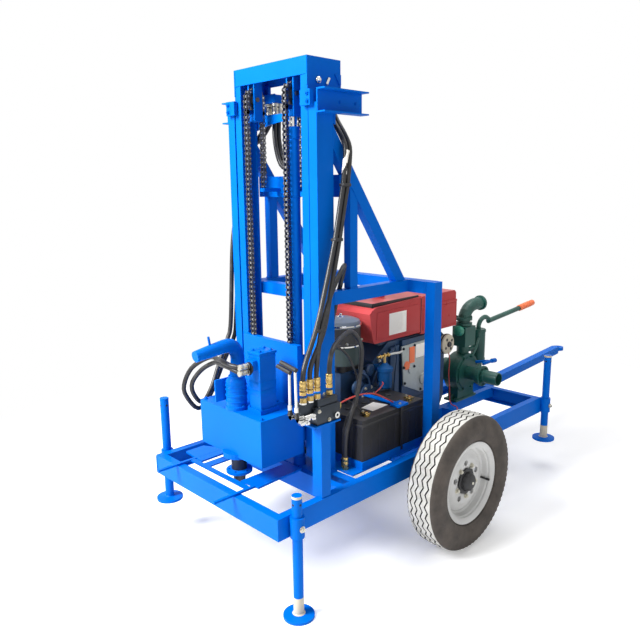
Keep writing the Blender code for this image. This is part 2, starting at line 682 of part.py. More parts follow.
def head():
    """Carriage, gearbox, motor, swivel with its bend, and spindle."""
    front = GEARBOX_X[1] + SEAT
    pieces = [box((front, front + 0.022), span(1, -0.162, 0.162), (0.090, CARRIAGE_TOP))]
    for side in (-1, 1):
        pieces.append(box((front + 0.012, 0.390), span(side, 0.154, 0.1616), (0.120, 0.460)))
        pieces.append(box((MAST_X + 0.013, 0.398), span(side, 0.158, COLUMN_OFFSET - COLUMN_WALL - 0.006), (0.130, 0.450)))
    add("carriage", fused(pieces), BLUE)
    case = box(GEARBOX_X, GEARBOX_Y, GEARBOX_Z)
    boss = rod((*SPINDLE_XY, GEARBOX_Z[0] - 0.010), (*SPINDLE_XY, GEARBOX_Z[0] + 0.01), 0.060, 28)
    add("gearbox", fused([case, boss]), BLUE)
    top = GEARBOX_Z[1] + SEAT
    motor = [
        box((0.142, 0.230), (0.251, 0.328), (top, top + 0.016)),
        box((0.149, 0.223), (0.258, 0.321), (top + 0.012, MOTOR_TOP)),
        rod((0.186, 0.2895, MOTOR_TOP - 0.01), (0.186, 0.2895, MOTOR_TOP + 0.010), 0.022, 20),
        box((0.128, 0.150), (0.272, 0.307), (PORT_Z - 0.018, PORT_Z + 0.018)),
    ]
    add("rotary_motor", fused(motor), BLUE)
    x, y = SPINDLE_XY
    profile = [(0, top), (0.043, top), (0.043, top + 0.012), (SWIVEL_RADIUS, top + 0.014),
               (SWIVEL_RADIUS, top + 0.050), (SWIVEL_RADIUS + 0.003, top + 0.052),
               (SWIVEL_RADIUS + 0.003, top + 0.058), (SWIVEL_RADIUS, top + 0.060),
               (SWIVEL_RADIUS, 0.372), (0.027, 0.385), (0, 0.385)]
    body = turned(profile, (x, y, 0), (0, 0, 1), 28)
    neck = smooth_route(((x, y, 0.375), (x + 0.008, y, 0.420), (x + 0.010, y, 0.465), (x - 0.006, y, 0.499),
                         (x - 0.035, y, 0.510), (x - 0.09, y, 0.505), (x - 0.174, y, 0.494)), 0.014)
    count = len(neck)
    radii = [0.0265 - 0.007 * max(0.0, 2 * i / count - 1) for i in range(count)]
    add("water_swivel", fused([body, swept(neck, radii, 20)]), BLUE)
    start = GEARBOX_Z[0] - 0.010 - SEAT
    profile = [(0, start), (0.030, start), (0.030, 0.020), (0.050, 0.018), (0.050, 0.008),
               (0.026, 0.006), (0.022, -0.030), (0, -0.030)]
    add("drill_spindle", turned(profile, (x, y, 0), (0, 0, 1), 28), STEEL_BLUE, pivot=(x, y, 0))


def valve():
    top = VALVE_Z
    stand = [box((0.208, 0.252), (0.004, 0.050), (SEAT, top)),
             box((0.171, 0.296), (-0.004, 0.056), (top - 0.003, top + 0.003))]
    add("valve_stand", fused(stand), BLUE)
    low = top + 0.003 + SEAT
    body = [box((0.1855, 0.300), (0.001, 0.053), (low, 0.338)),
            box((0.130, 0.290), (0.0235, 0.0526), (0.300, 0.3616)),
            box((0.195, 0.295), (0.008, 0.046), (0.330, 0.362))]
    # x and top of each hose fitting
    for x, level in ((0.1465, 0.400), (0.179, 0.400), (0.212, 0.405), (0.270, 0.405)):
        body.append(rod((x, VALVE_Y, 0.355), (x, VALVE_Y, level), 0.0085, 12))
    add("valve_block", fused(body), SILVER)
    # foot of each spool, end of its rod, top of its lever, end of its grip
    spools = (((0.1852, 0.0135, 0.315), (0.106, 0.0135, 0.315), (0.101, 0.0135, 0.490), (0.100, 0.085, 0.505)),
              ((0.1297, 0.040, 0.322), (0.099, 0.040, 0.322), (0.099, 0.040, 0.478), (0.098, 0.100, 0.490)))
    levers = []
    for foot, end, top, grip in spools:
        levers.append(rod(foot, end, 0.0095, 14))
        levers.append(rod((end[0] + 0.006, end[1], end[2]), top, 0.005, 10))
        levers.append(rod((top[0], top[1] - 0.003, top[2]), grip, 0.007, 12))
    levers.append(box((0.116, 0.1296), (0.006, 0.050), (0.308, 0.330)))
    add("valve_levers", fused(levers), CHROME)


def battery():
    floor = 0.0049 + SEAT
    tray = box((0.474, 0.866), (0.054, 0.261), (floor, floor + 0.030))
    hollow = box((0.479, 0.861), (0.059, 0.256), (floor + 0.004, floor + 0.1))
    add("battery_tray", cut(tray, [hollow]), BLUE)
    low = floor + 0.004 + SEAT
    case = [box((0.4795, 0.8605), (0.0595, 0.2555), (low, 0.180)),
            box((0.4785 + 0.002, 0.8595), (0.0605, 0.2545), (0.178, 0.200))]
    for x in (0.535, 0.805):
        case.append(rod((x, 0.090, 0.195), (x, 0.090, 0.215), 0.010, 14))
    add("battery", fused(case), BLACK)


def engine():
    foot = RAIL_TOP + SEAT
    side = ((0.800, 0.130), (0.900, 0.060), (0.966, foot), (1.298, foot), (1.330, 0.060),
            (1.330, 0.360), (1.280, 0.400), (0.966, 0.4005), (0.900, 0.400), (0.800, 0.330))
    block = [prism(side, "XZ", (0.290, 0.480)),
             box((0.860, 1.060), (0.300, 0.470), (0.390, 0.4127)),
             box((1.130, 1.300), (0.300, 0.470), (0.360, 0.4027)),
             box((0.980, 1.187), (0.272, 0.300), (0.140, 0.395)),
                 box((0.640, 0.810), (0.330, 0.440), (0.160, 0.300))]
    add("engine_block", fused(block), STEEL_BLUE)
    tank = prism(((0.7805, 0.425), (0.792, 0.413), (1.1125, 0.413), (1.111, 0.570), (1.102, 0.578),
                  (0.800, 0.570), (0.776, 0.560), (0.760, 0.545)), "XZ", (0.272, 0.520))
    rim = box((0.790, 1.106), (0.285, 0.507), (0.560, 0.586))
    add("fuel_tank", fused([tank, rim]), RED)
    hopper = [prism(((1.114, 0.403), (1.400, 0.403), (1.400, 0.529), (1.114, 0.529)), "XZ", (0.272, 0.520)),
              prism(((1.1145, 0.526), (1.397, 0.526), (1.397, 0.566), (1.386, 0.5785),
                     (1.127, 0.5785), (1.1145, 0.566)), "XZ", (0.275, 0.517))]
    add("water_hopper", fused(hopper), RED)
    # radius and height of the canister: neck, bowl, body, lid
    canister = [(0, 0.3003), (0.030, 0.3003), (0.030, 0.325), (0.084, 0.340), (0.084, 0.420), (0.088, 0.424),
                (0.088, 0.432), (0.084, 0.436), (0.084, 0.512), (0.072, 0.528), (0.040, 0.536), (0, 0.537)]
    cleaner = [turned(canister, (0.674, 0.360, 0), (0, 0, 1), 32),
               box((0.660, 0.7595), (0.335, 0.385), (0.3003, 0.330))]
    add("air_cleaner", fused(cleaner), BLACK)
    wheel = [(0.0, 0), (0.190, 0), (0.190, 0.060), (0.165, 0.060), (0.160, 0.030), (0.060, 0.030),
             (0.055, 0.070), (0.0, 0.070)]
    add("flywheel", turned(wheel, (1.130, 0.480 + SEAT, 0.205), (0, 1, 0), 40), STEEL_BLUE)


def pump():
    x, y, z = PUMP_CENTRE
    pieces = [rod((x, 0.262, z), (x, 0.336, z), 0.100, 36),
              rod((x, 0.320, z), (x, 0.400, z), 0.055, 28),
              box((x - 0.07, x + 0.07), (0.268, 0.326), (RAIL_TOP + SEAT, z - 0.004)),
              box((x - 0.042, x + 0.042), (0.318, 0.380), (0.09, z - 0.008))]
    neck = smooth_route(((x + 0.011, y, z + 0.03), (x + 0.011, y, 0.28), (x + 0.011, y, 0.40),
                         (x + 0.035, y, 0.452), (x + 0.085, y, 0.476), (x + 0.163, y, 0.478)), 0.018)
    pieces.append(swept(neck, 0.031, 20))
    pieces.append(rod((x, 0.289, z + 0.001), (x, 0.155, z + 0.001), 0.034, 22))
    pieces.append(rod((x, 0.195, z), (x, 0.170, z), 0.046, 24))
    pieces.append(box((x - 0.038, x + 0.053), (y - 0.045, y + 0.032), (0.28, 0.380)))
    pieces.append(rod((x + 0.011, y, 0.383), (x + 0.011, y, 0.397), 0.043, 24))
    pieces.append(rod((x + 0.011, y, 0.410), (x + 0.011, y, 0.424), 0.043, 24))
    pieces.append(rod((x, 0.258, z), (x, 0.266, z), 0.080, 32))
    primer = (x + 0.153, y)
    pieces.append(rod((*primer, 0.170), (*primer, 0.340), 0.036, 28))
    pieces.append(rod((x + 0.04, y, 0.245), (x + 0.125, y, 0.245), 0.012, 14))
    pieces.append(box((primer[0] - 0.02, primer[0] + 0.02), (y - 0.015, y + 0.015), (0.120, 0.175)))
    pieces.append(rod((x + 0.02, y, 0.146), (primer[0] + 0.01, y, 0.146), 0.018, 16))
    mouth = rod((x, 0.150, z), (x, 0.200, z), 0.026, 20)
    outlet = rod((x + 0.14, y, 0.478), (x + 0.170, y, 0.478), 0.025, 20)
    add("pump_casing", cut(fused(pieces), [mouth, outlet]), GREEN)
    base = 0.340 + SEAT
    lever = [swept(smooth_route(((primer[0], y, base), (primer[0], y, base + 0.02), (primer[0] + 0.02, y, 0.385), (primer[0] + 0.06, y, 0.395),
                                 (primer[0] + 0.10, y, 0.375)), 0.012), 0.012, 12),
             rod((primer[0] + 0.09, y, 0.368), (2.060, y, 0.394), 0.013, 14)]
    add("primer_lever", fused(lever), GREEN)
    add("lever_grip", rod((2.0603, y, 0.394), (2.210, y, 0.407), 0.017, 16), ORANGE)


def hoses():
    """Hose pairs. Each pair shares its route, with a shift in x and z at each knot."""
    # x, y, z of the first hose, then x and z of the second one's shift
    feed = ((0.466, 0.222, LUG_END, 0.0215, 0), (0.466, 0.222, 1.365, 0.0215, 0), (0.466, 0.195, 1.315, 0.0215, 0),
            (0.459, 0.150, 1.262, 0.0215, 0), (0.451, 0.118, 1.217, 0.0215, 0), (0.443, 0.110, 1.169, 0.0215, 0),
            (0.431, 0.110, 1.083, 0.0220, 0), (0.420, 0.110, 1.034, 0.0220, 0), (0.378, 0.100, 0.893, 0.0220, 0),
            (0.312, 0.085, 0.724, 0.0290, -0.004), (0.242, 0.060, 0.595, 0.0380, -0.007),
            (0.165, 0.035, 0.491, 0.0290, -0.005), (0.1465, VALVE_Y, 0.440, 0.0325, -0.006),
            (0.1465, VALVE_Y, 0.400 + SEAT, 0.0325, 0))
    cross = ((0.464, 0.262, LUG_END, 0.0215, 0), (0.464, 0.262, 1.360, 0.0215, 0), (0.450, 0.275, 1.260, 0.0215, 0),
             (0.439, 0.320, 1.165, 0.0215, 0), (0.4375, MIDDLE, 1.145, 0.0215, 0), (0.439, 0.453, 1.165, 0.0215, 0),
             (0.450, 0.498, 1.260, 0.0215, 0), (0.464, 0.511, 1.360, 0.0215, 0), (0.464, 0.511, LUG_END, 0.0215, 0))
    # x, y and z of the clamp blocks' middles on each pair
    routes = (("feed_hose", feed, ((0.442, 0.110, 1.083), (0.389, 0.100, 0.893))),
              ("cross_hose", cross, ((0.44825, MIDDLE, 1.145),)))
    for name, knots, clamps in routes:
        first = swept(smooth_route([k[:3] for k in knots], 0.035), HOSE_RADIUS, 8)
        second = swept(smooth_route([(k[0] + k[3], k[1], k[2] + k[4]) for k in knots], 0.035), HOSE_RADIUS, 8)
        blocks = [box((x - 0.018, x + 0.018), (y - 0.0105, y + 0.0105), (z - 0.009, z + 0.009))
                  for x, y, z in clamps]
        add(name, fused([first, second, *blocks]), HOSE)
    drop = ((0.466, 0.551, LUG_END), (0.466, 0.551, 1.365), (0.466, 0.578, 1.315), (0.459, 0.623, 1.262),
            (0.451, 0.655, 1.217), (0.443, 0.660, 1.169), (0.420, 0.660, 1.034), (0.378, 0.658, 0.850),
            (0.3456, 0.656, 0.535), (0.332, 0.656, 0.463), (0.2745, 0.656, 0.366), (0.197, 0.652, 0.239),
            (0.122, 0.630, 0.205), (0.060, 0.620, 0.279), (0.052, 0.610, 0.332), (0.075, 0.585, 0.395),
            (0.110, 0.520, 0.440), (0.087, 0.420, 0.454), (0.073, 0.340, 0.452), (0.085, 0.300, PORT_Z),
            (0.105, 0.2895, PORT_Z), (0.1277, 0.2895, PORT_Z))
    add("head_hose", swept(smooth_route(drop, 0.035), HOSE_RADIUS, 8), HOSE)


def build():
    clear_scene()
    base_frame()
    deck_and_table()
    drawbar()
    axle_and_wheels()
    legs()
    mast()
    upper_frame()
    brace_frame()
    inner_mast()
    lift()
    head()
    valve()
    battery()
    engine()
    pump()
    hoses()


build()
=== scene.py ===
"""Water well drilling rig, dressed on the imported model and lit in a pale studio."""

import math

import bmesh
import bpy
from mathutils import Matrix, Vector


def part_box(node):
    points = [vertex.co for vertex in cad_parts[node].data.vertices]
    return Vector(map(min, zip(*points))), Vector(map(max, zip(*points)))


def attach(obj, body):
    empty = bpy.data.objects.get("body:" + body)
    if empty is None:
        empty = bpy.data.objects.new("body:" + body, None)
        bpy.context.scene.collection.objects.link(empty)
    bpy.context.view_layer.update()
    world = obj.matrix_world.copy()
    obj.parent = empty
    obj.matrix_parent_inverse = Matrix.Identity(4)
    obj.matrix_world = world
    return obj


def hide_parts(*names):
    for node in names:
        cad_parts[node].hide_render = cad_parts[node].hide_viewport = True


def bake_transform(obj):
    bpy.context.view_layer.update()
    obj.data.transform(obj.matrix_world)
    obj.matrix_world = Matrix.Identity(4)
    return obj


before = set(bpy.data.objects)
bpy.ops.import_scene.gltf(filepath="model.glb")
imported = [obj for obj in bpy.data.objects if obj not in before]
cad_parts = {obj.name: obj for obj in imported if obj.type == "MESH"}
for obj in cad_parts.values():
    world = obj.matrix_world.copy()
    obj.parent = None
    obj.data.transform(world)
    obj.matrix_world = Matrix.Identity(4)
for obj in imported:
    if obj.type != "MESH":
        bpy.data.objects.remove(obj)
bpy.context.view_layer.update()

# Pieces are laid out from the base frame's near front top corner: x back, y in, z up from the deck.
FRAME_LENGTH = 1.785
FRAME_WIDTH = 0.773
MIDDLE = FRAME_WIDTH / 2
DECK_HEIGHT = 0.375
CORNER = Vector((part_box("base_frame")[0][0], -MIDDLE, DECK_HEIGHT))


def at(x, y, z):
    """World point of a place on the rig's own layout."""
    return CORNER + Vector((x, y, z))


# Camera


def aim_camera():
    """The photograph's own viewpoint: position, heading, downward pitch and slight roll."""
    yaw, pitch, roll = math.radians(46.013), math.radians(11.511), math.radians(-0.651)
    data = bpy.data.cameras.new("camera")
    data.sensor_width = 36.0
    data.lens = 36.495
    data.clip_start = 0.05
    camera = bpy.data.objects.new("camera", data)
    bpy.context.collection.objects.link(camera)
    forward = Vector((math.cos(pitch) * math.cos(yaw), math.cos(pitch) * math.sin(yaw), -math.sin(pitch)))
    right = Vector((math.sin(yaw), -math.cos(yaw), 0))
    up = right.cross(forward)
    side = right * math.cos(roll) + up * math.sin(roll)
    top = up * math.cos(roll) - right * math.sin(roll)
    turn = Matrix((side, top, -forward)).transposed().to_4x4()
    camera.matrix_world = Matrix.Translation(at(-1.2596, -1.5162, 1.0737)) @ turn
    bpy.context.scene.camera = camera


# Materials


class Nodes:
    """Short hand for one material's node tree."""

    def __init__(self, name):
        self.material = bpy.data.materials.new(name)
        self.material.use_nodes = True
        self.tree = self.material.node_tree
        self.shader = self.tree.nodes["Principled BSDF"]
        self.coords = self.tree.nodes.new("ShaderNodeTexCoord").outputs["Object"]

    def node(self, kind, **values):
        made = self.tree.nodes.new(kind)
        for key, value in values.items():
            if key in made.inputs:
                made.inputs[key].default_value = value
            else:
                setattr(made, key, value)
        return made

    def link(self, source, target):
        self.tree.links.new(source, target)

    def noise(self, scale, detail=3.0, roughness=0.5, stretch=None):
        made = self.node("ShaderNodeTexNoise", Scale=scale, Detail=detail, Roughness=roughness)
        if stretch:
            mapping = self.node("ShaderNodeMapping", Scale=stretch)
            self.link(self.coords, mapping.inputs["Vector"])
            self.link(mapping.outputs["Vector"], made.inputs["Vector"])
        else:
            self.link(self.coords, made.inputs["Vector"])
        return made.outputs["Fac"]

    def ramp(self, factor, low, high):
        """Black below low, white above high."""
        made = self.node("ShaderNodeValToRGB")
        made.color_ramp.elements[0].position = low
        made.color_ramp.elements[1].position = high
        self.link(factor, made.inputs["Fac"])
        return made.outputs["Color"]

    def feed(self, made, values):
        """Give inputs, named by their index, a link or a value."""
        for index, value in values.items():
            if isinstance(value, bpy.types.NodeSocket):
                self.link(value, made.inputs[index])
            else:
                made.inputs[index].default_value = value

    def mix(self, factor, first, second):
        made = self.node("ShaderNodeMix", data_type="RGBA")
        self.feed(made, {0: factor, 6: first, 7: second})
        return made.outputs[2]

    def math(self, operation, first, second):
        made = self.node("ShaderNodeMath", operation=operation)
        self.feed(made, {0: first, 1: second})
        return made.outputs[0]

    def bump(self, height, strength, distance):
        made = self.node("ShaderNodeBump", Strength=strength, Distance=distance)
        self.link(height, made.inputs["Height"])
        self.link(made.outputs["Normal"], self.shader.inputs["Normal"])

    def colour(self, source):
        self.link(source, self.shader.inputs["Base Color"])

    def roughness(self, factor, low, high):
        made = self.node("ShaderNodeMapRange")
        made.inputs["To Min"].default_value = low
        made.inputs["To Max"].default_value = high
        self.link(factor, made.inputs["Value"])
        self.link(made.outputs["Result"], self.shader.inputs["Roughness"])


def paint(name, colour, dark, rough=(0.28, 0.45)):
    """Sprayed enamel: faint orange peel, cloudy shade and thin dull scuffs."""
    n = Nodes(name)
    clouds = n.ramp(n.noise(3.5, 4.0, 0.6), 0.3, 0.72)
    tone = n.mix(clouds, (*dark, 1), (*colour, 1))
    specks = n.ramp(n.noise(60.0, 5.0, 0.65), 0.55, 0.75)
    scuffs = n.ramp(n.noise(9.0, 6.0, 0.7, (1.0, 1.0, 0.25)), 0.62, 0.7)
    spoiled = n.math("MULTIPLY", specks, scuffs)
    worn = n.mix(spoiled, tone, (*[c * 0.35 + 0.02 for c in colour], 1))
    n.colour(worn)
    n.roughness(n.noise(14.0, 4.0, 0.6), *rough)
    peel_height = n.noise(220.0, 2.0)
    n.bump(n.math("ADD", peel_height, n.math("MULTIPLY", n.noise(25.0, 3.0), 0.6)), 0.12, 0.001)
    n.shader.inputs["Specular IOR Level"].default_value = 0.06
    return n.material


def metal(name, colour, rough=(0.2, 0.4), metallic=1.0, strength=0.15):
    """Bare or plated metal with a fine grain."""
    n = Nodes(name)
    tone = n.mix(n.ramp(n.noise(6.0, 4.0, 0.6), 0.3, 0.7), (*[c * 0.72 for c in colour], 1), (*colour, 1))
    n.colour(tone)
    n.shader.inputs["Metallic"].default_value = metallic
    n.roughness(n.noise(18.0, 4.0, 0.6), *rough)
    n.bump(n.noise(80.0, 3.0), strength, 0.0008)
    return n.material


def casting(name, colour, rough=(0.45, 0.65), metallic=0.0, dirt=(0.03, 0.03, 0.03)):
    """Rough sand-cast surface, painted or bare, with oily patches."""
    n = Nodes(name)
    patches = n.ramp(n.noise(7.0, 5.0, 0.65), 0.48, 0.68)
    n.colour(n.mix(patches, (*colour, 1), (*[c * 0.5 + d * 0.5 for c, d in zip(colour, dirt)], 1)))
    n.shader.inputs["Metallic"].default_value = metallic
    n.roughness(n.noise(20.0, 4.0, 0.6), *rough)
    n.bump(n.math("ADD", n.noise(150.0, 3.0, 0.6), n.math("MULTIPLY", n.noise(40.0, 3.0), 0.5)), 0.35, 0.001)
    return n.material


def plastic(name, colour, rough=(0.4, 0.55)):
    """Moulded plastic with a fine leather grain and faint handling marks."""
    n = Nodes(name)
    marks = n.ramp(n.noise(5.0, 5.0, 0.6), 0.45, 0.75)
    n.colour(n.mix(marks, (*colour, 1), (*[c * 1.5 + 0.012 for c in colour], 1)))
    n.roughness(n.noise(12.0, 4.0), *rough)
    n.bump(n.noise(300.0, 2.0), 0.12, 0.0006)
    return n.material


def rubber(name, film, base_tone, film_tone, gloss, rough, relief):
    """Rubber in two tones, base_tone and film_tone, mixed by a cloud of noise: a film of dust on the hoses
    and sidewalls. film, gloss and relief begin with the settings of their noise.
    """
    n = Nodes(name)
    *cloud, low, high = film
    n.colour(n.mix(n.ramp(n.noise(*cloud), low, high), (*base_tone, 1), (*film_tone, 1)))
    n.roughness(n.noise(*gloss), *rough)
    *grain, strength, depth = relief
    n.bump(n.noise(*grain), strength, depth)
    return n.material


BLUE = paint("azure_enamel", (0.0, 0.148, 0.66), (0.0, 0.126, 0.58))
BELLOWS = plastic("rubber_boot", (0.01, 0.01, 0.011), rough=(0.5, 0.65))
# Near-black painted shade, put on the tyre's groove faces and in the legs' cross holes
SHADE_BLACK = plastic("groove_painted_shade", (0.006, 0.006, 0.006), rough=(0.75, 0.9))
FILTER_BLUE = paint("filter_enamel", (0.012, 0.1, 0.3), (0.008, 0.07, 0.22), rough=(0.1, 0.2))
CREAM = paint("cream_enamel", (0.68, 0.62, 0.5), (0.56, 0.5, 0.38), rough=(0.35, 0.5))
RED_WIRE = plastic("red_wire", (0.5, 0.045, 0.035), rough=(0.35, 0.45))
CLEAR_HOSE = plastic("milky_hose", (0.62, 0.64, 0.6), rough=(0.2, 0.3))
RED = paint("tank_enamel", (0.56, 0.08, 0.08), (0.46, 0.058, 0.06), rough=(0.22, 0.38))
GREEN = casting("pump_green", (0.008, 0.085, 0.066), rough=(0.35, 0.5), dirt=(0.01, 0.03, 0.025))
GREEN_LIGHT = casting("cap_green", (0.01, 0.22, 0.14), rough=(0.35, 0.5), dirt=(0.01, 0.05, 0.035))
ENGINE_BLUE = casting("engine_blue", (0.018, 0.06, 0.14), rough=(0.4, 0.6))
ALLOY = casting("gear_case_alloy", (0.44, 0.48, 0.47), rough=(0.4, 0.55), metallic=0.35, dirt=(0.12, 0.12,
                                                                                               0.11))
BLACK_IRON = casting("black_iron", (0.018, 0.018, 0.02), rough=(0.4, 0.6))
BLACK_PLASTIC = plastic("black_plastic", (0.014, 0.014, 0.016))
LABEL = plastic("bare_label", (0.92, 0.88, 0.8), rough=(0.3, 0.4))
CLEANER_GREY = paint("cleaner_grey", (0.2, 0.235, 0.28), (0.15, 0.175, 0.21), rough=(0.25, 0.4))
OIL_BOWL = paint("oil_bowl", (0.075, 0.105, 0.1), (0.05, 0.07, 0.07), rough=(0.08, 0.16))
ORANGE = plastic("orange_grip", (0.82, 0.17, 0.055))
CHROME = metal("plated_chrome", (0.8, 0.8, 0.78), rough=(0.08, 0.2), strength=0.05)
ZINC = metal("zinc_plate", (0.62, 0.6, 0.52), rough=(0.22, 0.4))
BRASS = metal("brass", (0.62, 0.44, 0.16), rough=(0.2, 0.35))
RIM_SILVER = paint("rim_silver", (0.72, 0.72, 0.71), (0.52, 0.52, 0.51), rough=(0.3, 0.45))
CHAIN_STEEL = metal("chain_steel", (0.13, 0.13, 0.14), rough=(0.25, 0.45), metallic=0.9)
CHAIN_ROLLER = metal("chain_roller", (0.55, 0.56, 0.58), rough=(0.15, 0.3))
DARK_STEEL = metal("dark_steel", (0.05, 0.06, 0.075), rough=(0.3, 0.5), metallic=0.8)
HOSE = rubber("hose_rubber", (18.0, 4.0, 0.6, 0.5, 0.8), (0.012, 0.012, 0.013), (0.05, 0.05, 0.052),
              (30.0,), (0.32, 0.5), (420.0, 2.0, 0.25, 0.0008))
TYRE = rubber("tyre_rubber", (12.0, 5.0, 0.65, 0.35, 0.7), (0.045, 0.038, 0.033), (0.095, 0.078, 0.066),
              (16.0, 4.0), (0.7, 0.9), (120.0, 4.0, 0.3, 0.001))
# Tread faces: both tones far paler than the sidewall rubber, palest in the noise patches
TREAD = rubber("tread_rubber", (25.0, 5.0, 0.7, 0.35, 0.65), (0.46, 0.45, 0.41), (0.66, 0.65, 0.61),
               (16.0, 4.0), (0.75, 0.9), (160.0, 4.0, 0.3, 0.001))

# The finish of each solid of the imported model
FINISH = (
    (BLUE, ("base_frame", "deck_plate", "work_table", "drawbar", "axle_beam", "near_front_leg",
            "far_front_leg",
            "near_rear_leg", "far_rear_leg", "mast", "upper_frame", "brace_frame", "inner_mast",
            "lift_barrel",
            "carriage", "gearbox", "rotary_motor", "water_swivel", "valve_stand", "battery_tray")),
    (TYRE, ("near_tyre", "far_tyre")),
    (RIM_SILVER, ("near_rim", "far_rim")),
    (BLACK_IRON, ("near_hub", "far_hub", "flywheel", "air_cleaner")),
    (CHROME, ("lift_rod", "valve_levers")),
    (CHAIN_STEEL, ("near_sprocket", "far_sprocket", "near_front_chain", "far_front_chain", "near_rear_chain",
                   "far_rear_chain")),
    (DARK_STEEL, ("drill_spindle", "valve_block")),
    (BLACK_PLASTIC, ("battery",)),
    (ENGINE_BLUE, ("engine_block",)),
    (RED, ("fuel_tank", "water_hopper")),
    (GREEN, ("pump_casing", "primer_lever")),
    (ORANGE, ("lever_grip",)),
    (HOSE, ("feed_hose", "cross_hose", "head_hose")),
)

# Axes that parts stand along
UP = (0, 0, 1)
NEAR = (0, -1, 0)
FRONT = (-1, 0, 0)
BACK = (1, 0, 0)

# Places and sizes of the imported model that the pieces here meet
MAST_X = 0.33
POST_BACK = 0.41
WHEEL_X = 0.856
WHEEL_OFFSET = 0.1375
TYRE_RADIUS = 0.28
COLUMN_OFFSET = 0.205
HUB_Z = -0.095
CHAIN_OFFSET = 0.1095
CHAIN_PITCH = 0.01905
SPROCKET = (0.35, 1.4)
SPROCKET_RADIUS = 0.0368
WRAP_TAIL = 0.045
CARRIAGE_TOP = 0.5
ANCHOR_TOP = 1.0753
LUG_END = 1.3992
HOSE_RADIUS = 0.009
VALVE_Y = 0.0275
VALVE_PORTS = (0.1465, 0.179, 0.212, 0.2707)
PORT_X = 0.1278
PORT_Y = 0.2895
PORT_Z = 0.448
PORT_LEVELS = (PORT_Z, PORT_Z - 0.022)
SPINDLE_X = 0.136
BATTERY_POSTS = (0.535, 0.805)
CLEANER = (0.674, 0.36)
PULLEY = (1.326, 0.32)
FLYWHEEL = (1.13, 0.205)
CASE_FACE = 0.2645
COVER_FACE = 0.2905
PUMP = (1.497, 0.3, 0.141)
SIDES = (("near", -1), ("far", 1))

# Hoses between two bodies: both bodies, then a start and an end point along the hose, which nothing here
# reads
RISE = ("root", "inner_mast", (0.3, 0.1, 0.4), (0.3, 0.1, LUG_END))
FALL = ("head", "inner_mast", (0.3, 0.6, 0.205), (0.3, 0.6, LUG_END))


def finish_solids():
    """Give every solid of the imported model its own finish."""
    for look, names in FINISH:
        for name in names:
            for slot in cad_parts[name].material_slots:
                slot.material = look


def span(side, *offsets):
    """Low and high y between distances from the middle line."""
    return tuple(sorted(MIDDLE + side * offset for offset in offsets))


def turns(count, start=0.0):
    """Angles at even steps round a circle. start is a share of one step."""
    return [2 * math.pi * (k + start) / count for k in range(count)]


# Shapes


